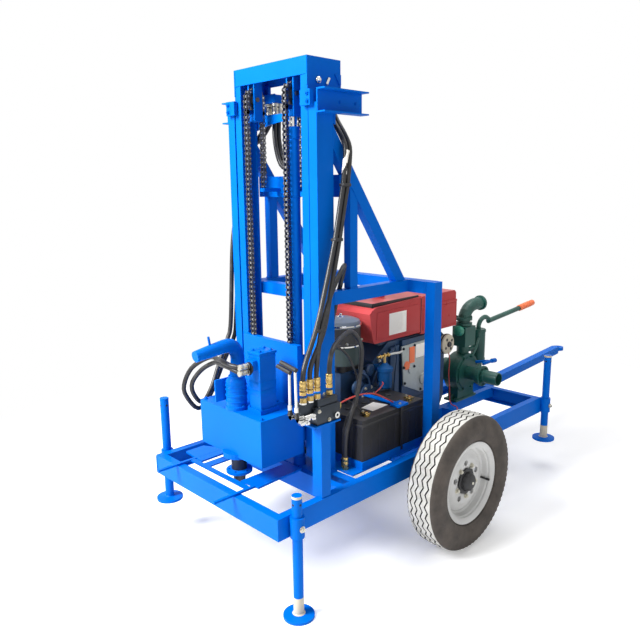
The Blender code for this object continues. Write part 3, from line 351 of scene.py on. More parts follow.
class Shape:
    """Collects closed parts on the rig's layout and becomes one piece."""

    def __init__(self):
        self.bm = bmesh.new()

    def take(self, bm, look=0):
        bmesh.ops.recalc_face_normals(bm, faces=bm.faces)
        for face in bm.faces:
            face.material_index = look
        part = bpy.data.meshes.new("part")
        bm.to_mesh(part)
        bm.free()
        self.bm.from_mesh(part)
        bpy.data.meshes.remove(part)
        return self

    def block(self, x, y, z, edge=0.001, look=0):
        """Block between two x, two y and two z values with rounded edges."""
        bm = bmesh.new()
        bmesh.ops.create_cube(bm, size=1.0)
        size = Vector((x[1] - x[0], y[1] - y[0], z[1] - z[0]))
        middle = Vector(((x[0] + x[1]) / 2, (y[0] + y[1]) / 2, (z[0] + z[1]) / 2))
        for vert in bm.verts:
            vert.co = Vector([c * s for c, s in zip(vert.co, size)]) + middle
        if edge:
            bmesh.ops.bevel(bm, geom=bm.edges[:], offset=edge, segments=2, profile=0.5, affect="EDGES")
        return self.take(bm, look)

    def prism(self, outline, plane, across, edge=0.0, look=0):
        """Extrude an outline. plane names its two axes, and across runs along the third."""
        u, v = ("XYZ".index(letter) for letter in plane)
        bm = bmesh.new()
        rings = []
        for level in across:
            ring = []
            for a, b in outline:
                co = [level] * 3
                co[u], co[v] = a, b
                ring.append(bm.verts.new(co))
            rings.append(ring)
        bm.faces.new(rings[0])
        bm.faces.new(rings[1])
        for i in range(len(outline)):
            j = (i + 1) % len(outline)
            bm.faces.new((rings[0][i], rings[0][j], rings[1][j], rings[1][i]))
        if edge:
            rims = [e for e in bm.edges if (e.verts[0] in rings[0]) == (e.verts[1] in rings[0])]
            bmesh.ops.bevel(bm, geom=rims, offset=edge, segments=2, profile=0.5, affect="EDGES")
        return self.take(bm, look)

    def turned(self, profile, centre, axis=UP, segments=32, look=0):
        """Revolve a (radius, height) profile that starts and ends on the axis, or a closed ring of it."""
        bm = bmesh.new()
        rings = []
        for radius, height in profile:
            if radius == 0:
                rings.append([bm.verts.new((0, 0, height))])
                continue
            rings.append([bm.verts.new((radius * math.cos(a), radius * math.sin(a), height))
                          for a in turns(segments)])
        pairs = list(zip(rings, rings[1:]))
        if profile[0][0] > 0 and profile[-1][0] > 0:
            pairs.append((rings[-1], rings[0]))
        for low, high in pairs:
            for i in range(segments):
                j = (i + 1) % segments
                if len(low) == 1:
                    bm.faces.new((low[0], high[j], high[i]))
                elif len(high) == 1:
                    bm.faces.new((low[i], low[j], high[0]))
                else:
                    bm.faces.new((low[i], low[j], high[j], high[i]))
        turn = Vector(UP).rotation_difference(Vector(axis)).to_matrix().to_4x4()
        bmesh.ops.transform(bm, matrix=Matrix.Translation(centre) @ turn, verts=bm.verts)
        return self.take(bm, look)

    def solid(self, profile, centre, axis=UP, segments=32, look=0):
        """Revolve a (radius, height) profile and close it to the axis at both ends."""
        closed = [(0, profile[0][1]), *profile, (0, profile[-1][1])]
        return self.turned(closed, centre, axis, segments, look)

    def collar(self, inner, outer, height, centre, axis=UP, segments=28, edge=0.001):
        """Raised ring with broken edges round a bar or a barrel."""
        profile = [(inner, 0), (outer, edge), (outer, height - edge), (inner, height)]
        return self.turned(profile, centre, axis, segments)

    def rod(self, start, end, radius, segments=20, edge=0.0008):
        """Round bar with broken edges."""
        start, end = Vector(start), Vector(end)
        length = (end - start).length
        profile = [(radius - edge, 0), (radius, edge), (radius, length - edge), (radius - edge, length)]
        return self.solid(profile, start, (end - start).normalized(), segments)

    def tube(self, route, radius, sides=12):
        """Round bar along a route. radius is one value or one for each point."""
        points = [Vector(p) for p in route]
        radii = radius if isinstance(radius, (list, tuple)) else [radius] * len(points)
        bm = bmesh.new()
        across = None
        rings = []
        for i, point in enumerate(points):
            along = (points[min(i + 1, len(points) - 1)] - points[max(i - 1, 0)]).normalized()
            if across is None:
                across = along.orthogonal().normalized()
            across = (across - along * across.dot(along)).normalized()
            other = along.cross(across)
            rings.append([bm.verts.new(point + (across * math.cos(a) + other * math.sin(a)) * radii[i])
                          for a in turns(sides)])
        for low, high in zip(rings, rings[1:]):
            for i in range(sides):
                j = (i + 1) % sides
                bm.faces.new((low[i], low[j], high[j], high[i]))
        bm.faces.new(rings[0])
        bm.faces.new(rings[-1])
        return self.take(bm)

    def pipe(self, knots, radius, sides=10, step=0.012):
        """Round bar along a smooth curve through the knots."""
        return self.tube(smooth_route(knots, step), radius, sides)

    def bead(self, start, end, size=0.0032):
        """Weld bead with its ripples."""
        start, end = Vector(start), Vector(end)
        count = max(3, round((end - start).length / 0.0045))
        route = [start.lerp(end, k / count) for k in range(count + 1)]
        radii = [size * (0.82 + 0.18 * (k % 2)) for k in range(count + 1)]
        radii[0] = radii[-1] = size * 0.5
        return self.tube(route, radii, 7)

    def mesh(self, name):
        made = bpy.data.meshes.new(name)
        self.bm.to_mesh(made)
        self.bm.free()
        return made

    def piece(self, name, looks, body, slot, stands_for=()):
        return finished(name, self.mesh(name), looks, body, stands_for)


def finished(name, mesh, looks, body, stands_for=()):
    """Put a mesh laid out on the rig in the world as a piece. A piece given two bodies is left without a
    parent, its transform baked.
    """
    mesh.transform(Matrix.Translation(CORNER))
    mesh.name = name
    if not mesh.materials:
        for look in looks:
            mesh.materials.append(look)
    mesh.shade_smooth()
    mesh.set_sharp_from_angle(angle=math.radians(35))
    made = bpy.data.objects.new(name, mesh)
    bpy.context.collection.objects.link(made)
    if isinstance(body, str):
        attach(made, body)
    else:
        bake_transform(made)
    if stands_for:
        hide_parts(*stands_for)
    return made


def smooth_route(knots, step):
    """Points at about even steps along a Catmull-Rom curve through the knots."""
    knots = [Vector(p) for p in knots]
    padded = [knots[0] * 2 - knots[1], *knots, knots[-1] * 2 - knots[-2]]
    fine = []
    for a, b, c, d in zip(padded, padded[1:], padded[2:], padded[3:]):
        for k in range(12):
            t = k / 12
            fine.append(0.5 * ((2 * b) + (c - a) * t + (2 * a - 5 * b + 4 * c - d) * t * t
                               + (3 * b - a - 3 * c + d) * t * t * t))
    route = [knots[0]]
    for point in fine[1:]:
        if (point - route[-1]).length >= step:
            route.append(point)
    if (knots[-1] - route[-1]).length < step / 2:
        route.pop()
    return route + [knots[-1]]


# Hoses


def hose(name, knots, body, slot="hose", stands_for=(), radius=HOSE_RADIUS, look=HOSE):
    """One hydraulic hose from fitting to fitting."""
    route = smooth_route(knots, 0.016)
    made = Shape().tube(route, radius, 14).piece(name, [look], body, slot, stands_for)


def hoses():
    """Hose pairs up the near side, across behind the crosshead and down the far side to the motor."""
    # x, y, z of the first hose, then x and z of the second one's shift
    feed = ((0.1465, VALVE_Y, 0.4003, 0.0325, 0), (0.1465, VALVE_Y, 0.44, 0.0325, -0.006),
            (0.165, 0.035, 0.491, 0.029, -0.005), (0.242, 0.06, 0.595, 0.038, -0.007),
            (0.312, 0.085, 0.724, 0.029, -0.004), (0.378, 0.1, 0.893, 0.022, 0), (0.42, 0.11, 1.034, 0.022,
                                                                                  0),
            (0.431, 0.11, 1.083, 0.022, 0), (0.443, 0.11, 1.169, 0.0215, 0), (0.451, 0.118, 1.217, 0.0215,
                                                                              0),
            (0.459, 0.15, 1.262, 0.0215, 0), (0.466, 0.195, 1.315, 0.0215, 0), (0.466, 0.222, 1.365, 0.0215,
                                                                                0),
            (0.466, 0.222, LUG_END, 0.0215, 0))
    cross = ((0.464, 0.262, LUG_END), (0.464, 0.262, 1.36), (0.45, 0.275, 1.26), (0.439, 0.32, 1.165),
             (0.4375, MIDDLE, 1.145), (0.439, 0.453, 1.165), (0.45, 0.498, 1.26), (0.464, 0.511, 1.36),
             (0.464, 0.511, LUG_END))
    drop = ((0.1277, 0.2895, PORT_Z), (0.105, 0.2895, PORT_Z), (0.085, 0.3, PORT_Z), (0.073, 0.34, 0.452),
            (0.087, 0.42, 0.454), (0.11, 0.52, 0.44), (0.075, 0.585, 0.395), (0.052, 0.61, 0.332),
            (0.06, 0.62, 0.279), (0.122, 0.63, 0.205), (0.197, 0.652, 0.239), (0.2745, 0.656, 0.366),
            (0.332, 0.656, 0.463), (0.3456, 0.656, 0.535), (0.378, 0.658, 0.85), (0.42, 0.66, 1.034),
            (0.443, 0.66, 1.169), (0.451, 0.655, 1.217), (0.459, 0.623, 1.262), (0.466, 0.578, 1.315),
            (0.466, 0.551, 1.365), (0.466, 0.551, LUG_END))
    for name, shift in (("feed_hose_front", 0), ("feed_hose_rear", 1)):
        knots = [(x + dx * shift, y, z + dz * shift) for x, y, z, dx, dz in feed]
        hose(name, knots, RISE, stands_for=("feed_hose",))
    for name, shift in (("cross_hose_front", 0), ("cross_hose_rear", 0.0215)):
        hose(name, [(x + shift, y, z) for x, y, z in cross], "inner_mast", stands_for=("cross_hose",))
    hose("head_hose_outer", drop, FALL, stands_for=("head_hose",))
    inner = ((0.1277, 0.2895, PORT_Z - 0.022), (0.106, 0.2895, PORT_Z - 0.022), (0.088, 0.303,
                                                                                 PORT_Z - 0.02),
             (0.08, 0.35, 0.438), (0.098, 0.43, 0.432), (0.128, 0.51, 0.418), (0.103, 0.56, 0.386),
             (0.076, 0.59, 0.335), (0.084, 0.602, 0.285), (0.13, 0.612, 0.234), (0.19, 0.632, 0.275),
             (0.25, 0.65, 0.372), (0.3, 0.656, 0.463), (0.319, 0.656, 0.535), (0.355, 0.672, 0.85),
             (0.398, 0.678, 1.034), (0.423, 0.68, 1.169), (0.45, 0.676, 1.225), (0.481, 0.623, 1.272),
             (0.4875, 0.578, 1.318), (0.4875, 0.551, 1.365), (0.4875, 0.551, LUG_END))
    hose("head_hose_inner", inner, FALL, stands_for=("head_hose",))
    loop = ((0.2707, VALVE_Y, 0.4053), (0.279, 0.03, 0.487), (0.319, 0.05, 0.523), (0.391, 0.08, 0.5425),
            (0.4655, 0.1, 0.546), (0.526, 0.11, 0.4835), (0.5265, 0.11, 0.404), (0.493, 0.1, 0.294),
            (0.46, 0.1, 0.223), (0.44, 0.105, 0.153), (0.438, 0.11, 0.08), (0.438, 0.11, 0.03))
    hose("tank_hose", loop, "root")
    cylinder = ((0.212, VALVE_Y, 0.4053), (0.213, 0.029, 0.47), (0.262, 0.055, 0.588), (0.345, 0.088, 0.705),
                (0.432, 0.112, 0.79), (0.47, 0.15, 0.76), (0.462, 0.205, 0.56), (0.44, 0.25, 0.3),
                (0.424, 0.27, 0.13), (0.405, 0.277, 0.062), (0.378, 0.277, 0.05))
    hose("cylinder_hose", cylinder, "root")
    thin = ((0.405, 0.131, 0.5), (0.47, 0.131, 0.453), (0.514, 0.13, 0.379), (0.531, 0.13, 0.311),
            (0.512, 0.128, 0.24), (0.465, 0.128, 0.2), (0.447, 0.13, 0.14), (0.446, 0.132, 0.03))
    hose("thin_hose", thin, "root", radius=0.0045)


def crimp(shape, foot, axis):
    """Swaged ferrule with its swivel nut, from the port outwards."""
    profile = [(0, 0), (0.0125, 0), (0.0125, 0.012), (0.0092, 0.013), (0.0092, 0.016), (0.012, 0.017),
               (0.0122, 0.03), (0.0112, 0.032), (0.0122, 0.034), (0.0122, 0.046), (0.0105, 0.049),
               (0, 0.049)]
    return shape.turned(profile, foot, axis, 18)


def hose_ends():
    """Ferrules at every hose's ends, the bare label round a hose and the ties between pairs."""
    ends = Shape()
    for x in VALVE_PORTS:
        crimp(ends, (x, VALVE_Y, 0.392), UP)
        ends.solid([(0.0125, 0), (0.0125, 0.016)], (x, VALVE_Y, 0.366), UP, 6)
    crimp(ends, (0.438, 0.11, 0.0052), UP)
    ends.rod((0.446, 0.132, 0.0052), (0.446, 0.132, 0.04), 0.007)
    crimp(ends, (0.3735, 0.277, 0.0495), BACK)
    ends.rod((0.398, 0.1355, 0.5), (0.412, 0.1305, 0.5), 0.007)
    ends.piece("lower_hose_ends", [BRASS], "root", "silver_paint")
    sleeves = Shape()
    sleeves.pipe(((0.453, 0.11, 1.202), (0.443, 0.11, 1.169), (0.437, 0.11, 1.12)), 0.0094, 14, 0.01)
    sleeves.piece("bare_hose_label", [LABEL], RISE, "hose")
    tops = Shape()
    for x in (0.466, 0.4875):
        for y in (0.222, 0.262, 0.511, 0.551):
            crimp(tops, (x, y, 1.3998), (0, 0, -1))
    tops.piece("upper_hose_ends", [ZINC], "inner_mast", "chrome")
    port = Shape()
    for z in PORT_LEVELS:
        crimp(port, (PORT_X, PORT_Y, z), FRONT)
    port.piece("motor_hose_ends", [ZINC], "head", "chrome")
    ties = Shape()
    for x, y, z in ((0.442, 0.11, 1.083), (0.389, 0.1, 0.893), (0.2605, 0.06, 0.5915)):
        ties.block((x - 0.021, x + 0.021), (y - 0.0115, y + 0.0115), (z - 0.006, z + 0.006), 0.003)
    ties.piece("hose_ties", [BLACK_PLASTIC], RISE, "hose")


# Repeats, each grown on points by a tree of geometry nodes


class Tree:
    """Short hand for a geometry tree with named inputs."""

    def __init__(self, name, sizes):
        self.group = bpy.data.node_groups.new(name, "GeometryNodeTree")
        sockets = self.group.interface
        sockets.new_socket("Points", in_out="INPUT", socket_type="NodeSocketGeometry")
        sockets.new_socket("Result", in_out="OUTPUT", socket_type="NodeSocketGeometry")
        for label in sizes:
            sockets.new_socket(label, in_out="INPUT", socket_type="NodeSocketFloat")
        sockets.new_socket("Finish", in_out="INPUT", socket_type="NodeSocketMaterial")
        self.given = self.group.nodes.new("NodeGroupInput").outputs
        self.end = self.group.nodes.new("NodeGroupOutput")

    def node(self, kind, **values):
        made = self.group.nodes.new(kind)
        for key, value in values.items():
            label = key.replace("_", " ")
            if label in made.inputs:
                self.set(made.inputs[label], value)
            else:
                setattr(made, key, value)
        return made.outputs[0]

    def set(self, socket, value):
        if isinstance(value, (list, set)):
            for one in value:
                self.group.links.new(one, socket)
        elif isinstance(value, bpy.types.NodeSocket):
            self.group.links.new(value, socket)
        else:
            socket.default_value = value

    def math(self, operation, first, second=0.0):
        made = self.group.nodes.new("ShaderNodeMath")
        made.operation = operation
        self.set(made.inputs[0], first)
        self.set(made.inputs[1], second)
        return made.outputs[0]

    def drum(self, vertices, width, depth):
        """Cylinder round Z of half the width as its radius."""
        return self.node("GeometryNodeMeshCylinder", Vertices=vertices, Radius=self.math("MULTIPLY", width,
                                                                                         0.5),
                         Depth=depth)

    def fact(self, kind, name):
        """A named attribute of the points."""
        return self.node("GeometryNodeInputNamedAttribute", data_type=kind, Name=name)

    def vector(self, x=0.0, y=0.0, z=0.0):
        return self.node("ShaderNodeCombineXYZ", X=x, Y=y, Z=z)

    def moved(self, geometry, place, turn=(0.0, 0.0, 0.0)):
        return self.node("GeometryNodeTransform", Geometry=geometry, Translation=place, Rotation=turn)

    def close(self, geometry):
        real = self.node("GeometryNodeRealizeInstances", Geometry=geometry)
        last = self.node("GeometryNodeSetMaterial", Geometry=real, Material=self.given["Finish"])
        self.group.links.new(last, self.end.inputs[0])

    def grow(self, points, values, facts=()):
        """Run the tree on points. facts are (name, kind, values) attributes of the points."""
        host_mesh = bpy.data.meshes.new("points")
        host_mesh.from_pydata([tuple(p) for p in points], [], [])
        for name, kind, numbers in facts:
            layer = host_mesh.attributes.new(name, kind, "POINT")
            field = "vector" if kind == "FLOAT_VECTOR" else "value"
            layer.data.foreach_set(field, numbers)
        host = bpy.data.objects.new("points", host_mesh)
        bpy.context.collection.objects.link(host)
        step = host.modifiers.new("grow", "NODES")
        step.node_group = self.group
        for item in self.group.interface.items_tree:
            if item.item_type == "SOCKET" and item.in_out == "INPUT" and item.name in values:
                step[item.identifier] = values[item.name]
        graph = bpy.context.evaluated_depsgraph_get()
        mesh = bpy.data.meshes.new_from_object(host.evaluated_get(graph))
        bpy.data.objects.remove(host, do_unlink=True)
        return mesh


def bolt_tree():
    """Hexagon head on a washer, standing along each point's own axis."""
    tree = Tree("hex_bolts", ("Head Width", "Head Height", "Washer Width", "Washer Height"))
    given = tree.given
    head = tree.drum(6, given["Head Width"], given["Head Height"])
    lift = tree.math("MULTIPLY_ADD", given["Head Height"], 0.5)
    tree.set(lift.node.inputs[2], given["Washer Height"])
    head = tree.moved(head, tree.vector(z=lift))
    disc = tree.drum(16, given["Washer Width"], given["Washer Height"])
    disc = tree.moved(disc, tree.vector(z=tree.math("MULTIPLY", given["Washer Height"], 0.5)))
    stud_radius = tree.math("MULTIPLY", given["Head Width"], 0.27)
    stud = tree.node("GeometryNodeMeshCylinder", Vertices=10, Radius=stud_radius, Depth=given["Head Height"])
    top = tree.math("ADD", given["Head Height"], given["Washer Height"])
    stud = tree.moved(stud, tree.vector(z=top))
    shape = tree.node("GeometryNodeJoinGeometry", Geometry=[stud, disc, head])
    turn = tree.node("FunctionNodeAlignRotationToVector", axis="Z", Vector=tree.fact("FLOAT_VECTOR", "axis"))
    placed = tree.node("GeometryNodeInstanceOnPoints", Points=given["Points"], Instance=shape, Rotation=turn)
    tree.close(placed)
    return tree


def link_tree():
    """Plates of a roller chain: two waisted plates each side of the point, wider apart on outer links."""
    tree = Tree("chain_plates", ("Pitch", "Plate Height", "Plate Thickness", "Inner Gap"))
    given = tree.given
    thick = given["Plate Thickness"]
    quarter = (math.pi / 2, 0.0, 0.0)
    reach = tree.math("MULTIPLY", given["Pitch"], 0.5)
    lobe = tree.drum(12, given["Plate Height"], thick)
    high = tree.moved(lobe, tree.vector(z=reach), quarter)
    low = tree.moved(lobe, tree.vector(z=tree.math("MULTIPLY", reach, -1.0)), quarter)
    waist = tree.node("GeometryNodeMeshCube", Size=tree.vector(
        tree.math("MULTIPLY", given["Plate Height"], 0.66), tree.math("MULTIPLY", thick, 0.9),
                                                               given["Pitch"]))
    plate = tree.node("GeometryNodeJoinGeometry", Geometry=[high, low, waist])
    inner = tree.math("MULTIPLY_ADD", given["Inner Gap"], 0.5)
    tree.set(inner.node.inputs[2], tree.math("MULTIPLY", thick, 0.5))
    outer = tree.math("MULTIPLY_ADD", thick, 1.06)
    tree.set(outer.node.inputs[2], inner)
    turn = tree.vector(y=tree.fact("FLOAT", "turn"))
    wide = tree.node("FunctionNodeCompare", data_type="FLOAT", operation="GREATER_THAN",
                     A=tree.fact("FLOAT", "wide"), B=0.5)
    narrow = tree.node("FunctionNodeBooleanMath", operation="NOT", Boolean=wide)
    grown = []
    for offset, chosen in ((inner, narrow), (outer, wide)):
        for way in (1.0, -1.0):
            one = tree.moved(plate, tree.vector(y=tree.math("MULTIPLY", offset, way)))
            grown.append(tree.node("GeometryNodeInstanceOnPoints", Points=given["Points"], Instance=one,
                                   Selection=chosen, Rotation=turn))
    tree.close(tree.node("GeometryNodeJoinGeometry", Geometry=grown))
    return tree


def roller_tree():
    """Roller and pin at each joint of a chain."""
    tree = Tree("chain_rollers", ("Roller Width", "Roller Diameter", "Pin Length", "Pin Diameter"))
    given = tree.given
    parts = []
    for across, along in (("Roller Diameter", "Roller Width"), ("Pin Diameter", "Pin Length")):
        drum = tree.drum(12, given[across], given[along])
        parts.append(tree.moved(drum, (0.0, 0.0, 0.0), (math.pi / 2, 0.0, 0.0)))
    shape = tree.node("GeometryNodeJoinGeometry", Geometry=parts)
    tree.close(tree.node("GeometryNodeInstanceOnPoints", Points=given["Points"], Instance=shape))
    return tree


BOLTS = bolt_tree()
LINKS = link_tree()
ROLLERS = roller_tree()


def bolts(name, places, size, look, body):
    """Hexagon bolts. places are (x, y, z, axis), and size is the head's width."""
    mesh = BOLTS.grow([p[:3] for p in places], {
        "Head Width": size, "Head Height": size * 0.38, "Washer Width": size * 1.35,
        "Washer Height": size * 0.12, "Finish": look,
    }, [("axis", "FLOAT_VECTOR", [c for p in places for c in p[3]])])
    return finished(name, mesh, [look], body)


def chain_pieces(name, routes, body, stands_for):
    """Links and rollers along joints in the x z plane. Each route is (y, joints)."""
    mids, turns, wides, joints = [], [], [], []
    for y, stops in routes:
        for k, (a, b) in enumerate(zip(stops, stops[1:])):
            mids.append(((a[0] + b[0]) / 2, y, (a[1] + b[1]) / 2))
            turns.append(math.atan2(b[0] - a[0], b[1] - a[1]))
            wides.append(float(k % 2))
        joints += [(x, y, z) for x, z in stops]
    plates = LINKS.grow(mids, {"Pitch": CHAIN_PITCH, "Plate Height": 0.0165, "Plate Thickness": 0.0023,
                               "Inner Gap": 0.0118, "Finish": CHAIN_STEEL},
                        [("turn", "FLOAT", turns), ("wide", "FLOAT", wides)])
    finished(name + "_plates", plates, [CHAIN_STEEL], body, stands_for)
    rollers = ROLLERS.grow(joints, {"Roller Width": 0.0112, "Roller Diameter": 0.0117, "Pin Length": 0.0236,
                                    "Pin Diameter": 0.0066, "Finish": CHAIN_ROLLER})
    finished(name + "_rollers", rollers, [CHAIN_ROLLER], body)


def chains():
    """Straight runs, the wrap over each wheel, the toothed wheels and the blocks at the head."""
    top = SPROCKET[1] - WRAP_TAIL
    for name, way, low, body in (
        ("front", -1, CARRIAGE_TOP, ("inner_mast", "head", (0.31, 0.3, top), (0.31, 0.3, CARRIAGE_TOP))),
        ("rear", 1, ANCHOR_TOP, ("root", "inner_mast", (0.38, 0.3, ANCHOR_TOP), (0.38, 0.3, top))),
    ):
        x = SPROCKET[0] + way * SPROCKET_RADIUS
        count = round((top - low) / CHAIN_PITCH)
        stops = [(x, low + 0.006 + (top - low - 0.006) * k / count) for k in range(count + 1)]
        routes = [(MIDDLE + side * CHAIN_OFFSET, stops) for _, side in SIDES]
        replaced = tuple("%s_%s_chain" % (side, name) for side, _ in SIDES)
        chain_pieces(name + "_chains", routes, body, replaced)
    arc = math.pi * SPROCKET_RADIUS
    whole = arc + 2 * WRAP_TAIL
    count = round(whole / CHAIN_PITCH)
    stops = []
    for k in range(count + 1):
        run = whole * k / count
        if run < WRAP_TAIL:
            stops.append((SPROCKET[0] - SPROCKET_RADIUS, top + run))
        elif run > WRAP_TAIL + arc:
            stops.append((SPROCKET[0] + SPROCKET_RADIUS, top + whole - run))
        else:
            angle = math.pi - (run - WRAP_TAIL) / SPROCKET_RADIUS
            stops.append((SPROCKET[0] + SPROCKET_RADIUS * math.cos(angle),
                          SPROCKET[1] + SPROCKET_RADIUS * math.sin(angle)))
    routes = [(MIDDLE + side * CHAIN_OFFSET, stops) for _, side in SIDES]
    chain_pieces("wrapped_chains", routes, "inner_mast", ("near_sprocket", "far_sprocket"))
    wheels = Shape()
    for _, side in SIDES:
        y = MIDDLE + side * CHAIN_OFFSET
        edge = []
        for k, angle in enumerate(turns(48, 0.5)):
            reach = SPROCKET_RADIUS + (0.003, 0.003, -0.0055, -0.0055)[k % 4]
            edge.append((SPROCKET[0] + reach * math.cos(angle), SPROCKET[1] + reach * math.sin(angle)))
        wheels.prism(edge, "XZ", (y - 0.005, y + 0.005), 0.0006)
        for radius, half, segments in ((0.0195, 0.013, 24), (0.0085, 0.0235, 18)):
            wheels.solid([(radius, -half), (radius, half)], (SPROCKET[0], y, SPROCKET[1]), (0, 1, 0),
                         segments)
    wheels.piece("chain_wheels", [CHAIN_STEEL], "inner_mast", "chain_steel")
    studs = Shape()
    for _, side in SIDES:
        y = MIDDLE + side * CHAIN_OFFSET
        x = SPROCKET[0] - SPROCKET_RADIUS
        studs.block((x - 0.0065, x + 0.0065), (y - 0.0055, y + 0.0055), (CARRIAGE_TOP, CARRIAGE_TOP + 0.01),
                    0.0015)
    studs.piece("chain_end_blocks", [ZINC], "head", "chain_steel")


# Wheels


def wheel_centre(side):
    return Vector((WHEEL_X, MIDDLE + side * (FRAME_WIDTH / 2 + WHEEL_OFFSET), HUB_Z))


def tyre(name, side):
    """Carcass with four zig-zag grooves and short ribs round its shoulders. The groove faces carry
    near-black painted shade.
    """
    periods = 36
    groove_half, groove_depth, wander = 0.003, 0.0065, 0.0058
    # radius and distance from the middle plane, bead to shoulder
    wall = ((0.1528, 0.045), (0.164, 0.048), (0.172, 0.0505), (0.1765, 0.06), (0.19, 0.0668),
            (0.206, 0.0708), (0.225, 0.0725), (0.245, 0.07), (0.26, 0.066), (0.2705, 0.06),
            (0.2765, 0.051))
    centre = wheel_centre(side)
    bm = bmesh.new()
    rings = []
    for k, angle in enumerate(turns(periods * 4)):
        zig = (0.0, 1.0, 0.0, -1.0)[k % 4] * wander
        dip = 0.0026 * (k % 2)
        points = [(r, -s + (dip if 0.25 < r < 0.275 else 0), 0) for r, s in wall]
        # Faces ending at a kind 2 point are the grooves' walls and floors and get the near-black painted
        # shade; kind 1 ends tread faces, kind 0 wall faces
        for middle in (-0.0345, -0.0118, 0.0118, 0.0345):
            for offset, drop, kind in ((-groove_half, 0, 1), (-groove_half, groove_depth, 2),
                                       (groove_half, groove_depth, 2), (groove_half, 0, 2)):
                s = middle + offset + zig
                points.append((TYRE_RADIUS - 0.0035 * (s / 0.051) ** 2 - drop, s, kind))
        points += [(r, s - (dip if 0.25 < r < 0.275 else 0), 1 if r == 0.2765 else 0)
                   for r, s in reversed(wall)]
        kinds = [kind for _, _, kind in points]
        rings.append([bm.verts.new(centre + Vector((r * math.cos(angle), s, r * math.sin(angle))))
                      for r, s, _ in points])
    count = len(kinds)
    for k, ring in enumerate(rings):
        after = rings[(k + 1) % len(rings)]
        for i in range(count):
            j = (i + 1) % count
            face = bm.faces.new((ring[i], ring[j], after[j], after[i]))
            face.material_index = kinds[j]
    bmesh.ops.recalc_face_normals(bm, faces=bm.faces)
    shape = Shape()
    shape.bm.free()
    shape.bm = bm
    shape.piece(name + "_tyre_tread", [TYRE, TREAD, SHADE_BLACK], name + "_wheel", "tyre", (name + "_tyre",))


def wheel(name, side):
    """Pressed rim with its hand holes, nuts, valve and the hub's cap."""
    centre = wheel_centre(side)
    out = (0, side, 0)
    profile = [(0.17, 0.0545), (0.169, 0.056), (0.166, 0.056), (0.16, 0.0535), (0.15, 0.0505),
               (0.1462, 0.0465), (0.1462, 0.04), (0.1405, 0.036), (0.1395, 0.03), (0.1395, 0.02),
               (0.138, 0.015), (0.129, 0.0128), (0.127, 0.01), (0.125, 0.0128), (0.112, 0.015),
               (0.1, 0.023), (0.09, 0.0262), (0.062, 0.0262), (0.05, 0.0205), (0.03, 0.0205),
               (0.03, 0.015), (0.06, 0.015), (0.09, 0.016), (0.108, 0.005), (0.138, 0.003),
               (0.138, -0.04), (0.1475, -0.048), (0.16, -0.0535), (0.169, -0.056), (0.17, -0.051),
               (0.16, -0.05), (0.1526, -0.044), (0.1526, 0.044), (0.16, 0.05)]
    solid = Shape().turned(profile, centre, out, 72).mesh("rim")
    holes = Shape()
    turn = 0.35
    for angle in turns(5):
        hole = centre + Vector((0.0765 * math.cos(turn + angle), 0, 0.0765 * math.sin(turn + angle)))
        holes.turned([(0, -0.05), (0.0125, -0.05), (0.0125, 0.05), (0, 0.05)], hole, out, 20)
    body = bpy.data.objects.new("rim", solid)
    tool = bpy.data.objects.new("holes", holes.mesh("holes"))
    for made in (body, tool):
        bpy.context.collection.objects.link(made)
    step = body.modifiers.new("holes", "BOOLEAN")
    step.operation = "DIFFERENCE"
    step.solver = "EXACT"
    step.object = tool
    mesh = bpy.data.meshes.new_from_object(body.evaluated_get(bpy.context.evaluated_depsgraph_get()))
    for made in (body, tool):
        bpy.data.objects.remove(made, do_unlink=True)
    finished(name + "_pressed_rim", mesh, [RIM_SILVER], name + "_wheel", (name + "_rim",))
    hub = Shape()
    hub.solid([(0.056, 0.0262), (0.056, 0.03), (0.052, 0.033)], centre, out, 8)
    hub.turned([(0, 0.032), (0.04, 0.032), (0.0385, 0.042), (0.034, 0.05), (0.026, 0.056),
                (0.014, 0.059), (0, 0.06)], centre, out, 28)
    hub.turned([(0, -0.06), (0.034, -0.06), (0.034, -0.014), (0.0415, -0.012), (0.0415, 0.014),
                (0, 0.014)], centre, out, 28)
    hub.turned([(0.0345, -0.012), (0.104, -0.012), (0.104, -0.002), (0.0345, -0.002)], centre, out, 36)
    hub.piece(name + "_hub_cap", [BLACK_IRON], name + "_wheel", "black_cast", (name + "_hub",))
    spot = Shape()
    spot.turned([(0, 0.0595), (0.006, 0.0598), (0.005, 0.0625), (0, 0.0635)], centre, out, 16)
    spot.piece(name + "_hub_centre", [ZINC], name + "_wheel", "black_cast")
    valve = Shape()
    foot = centre + Vector((0.1305, side * 0.013, -0.03))
    valve.rod(foot, foot + Vector((0.004, side * 0.034, -0.002)), 0.0042)
    valve.rod(foot + Vector((0.0028, side * 0.024, -0.0014)), foot + Vector((0.0046, side * 0.04, -0.0023)),
              0.0052)
    valve.piece(name + "_tyre_valve", [BLACK_PLASTIC], name + "_wheel", "tyre")
    places = [(centre.x + 0.066 * math.cos(turn + angle), centre.y + side * 0.0262,
               centre.z + 0.066 * math.sin(turn + angle), out) for angle in turns(5, 0.5)]
    bolts(name + "_wheel_nuts", places, 0.017, ZINC, name + "_wheel")


# Mast and head


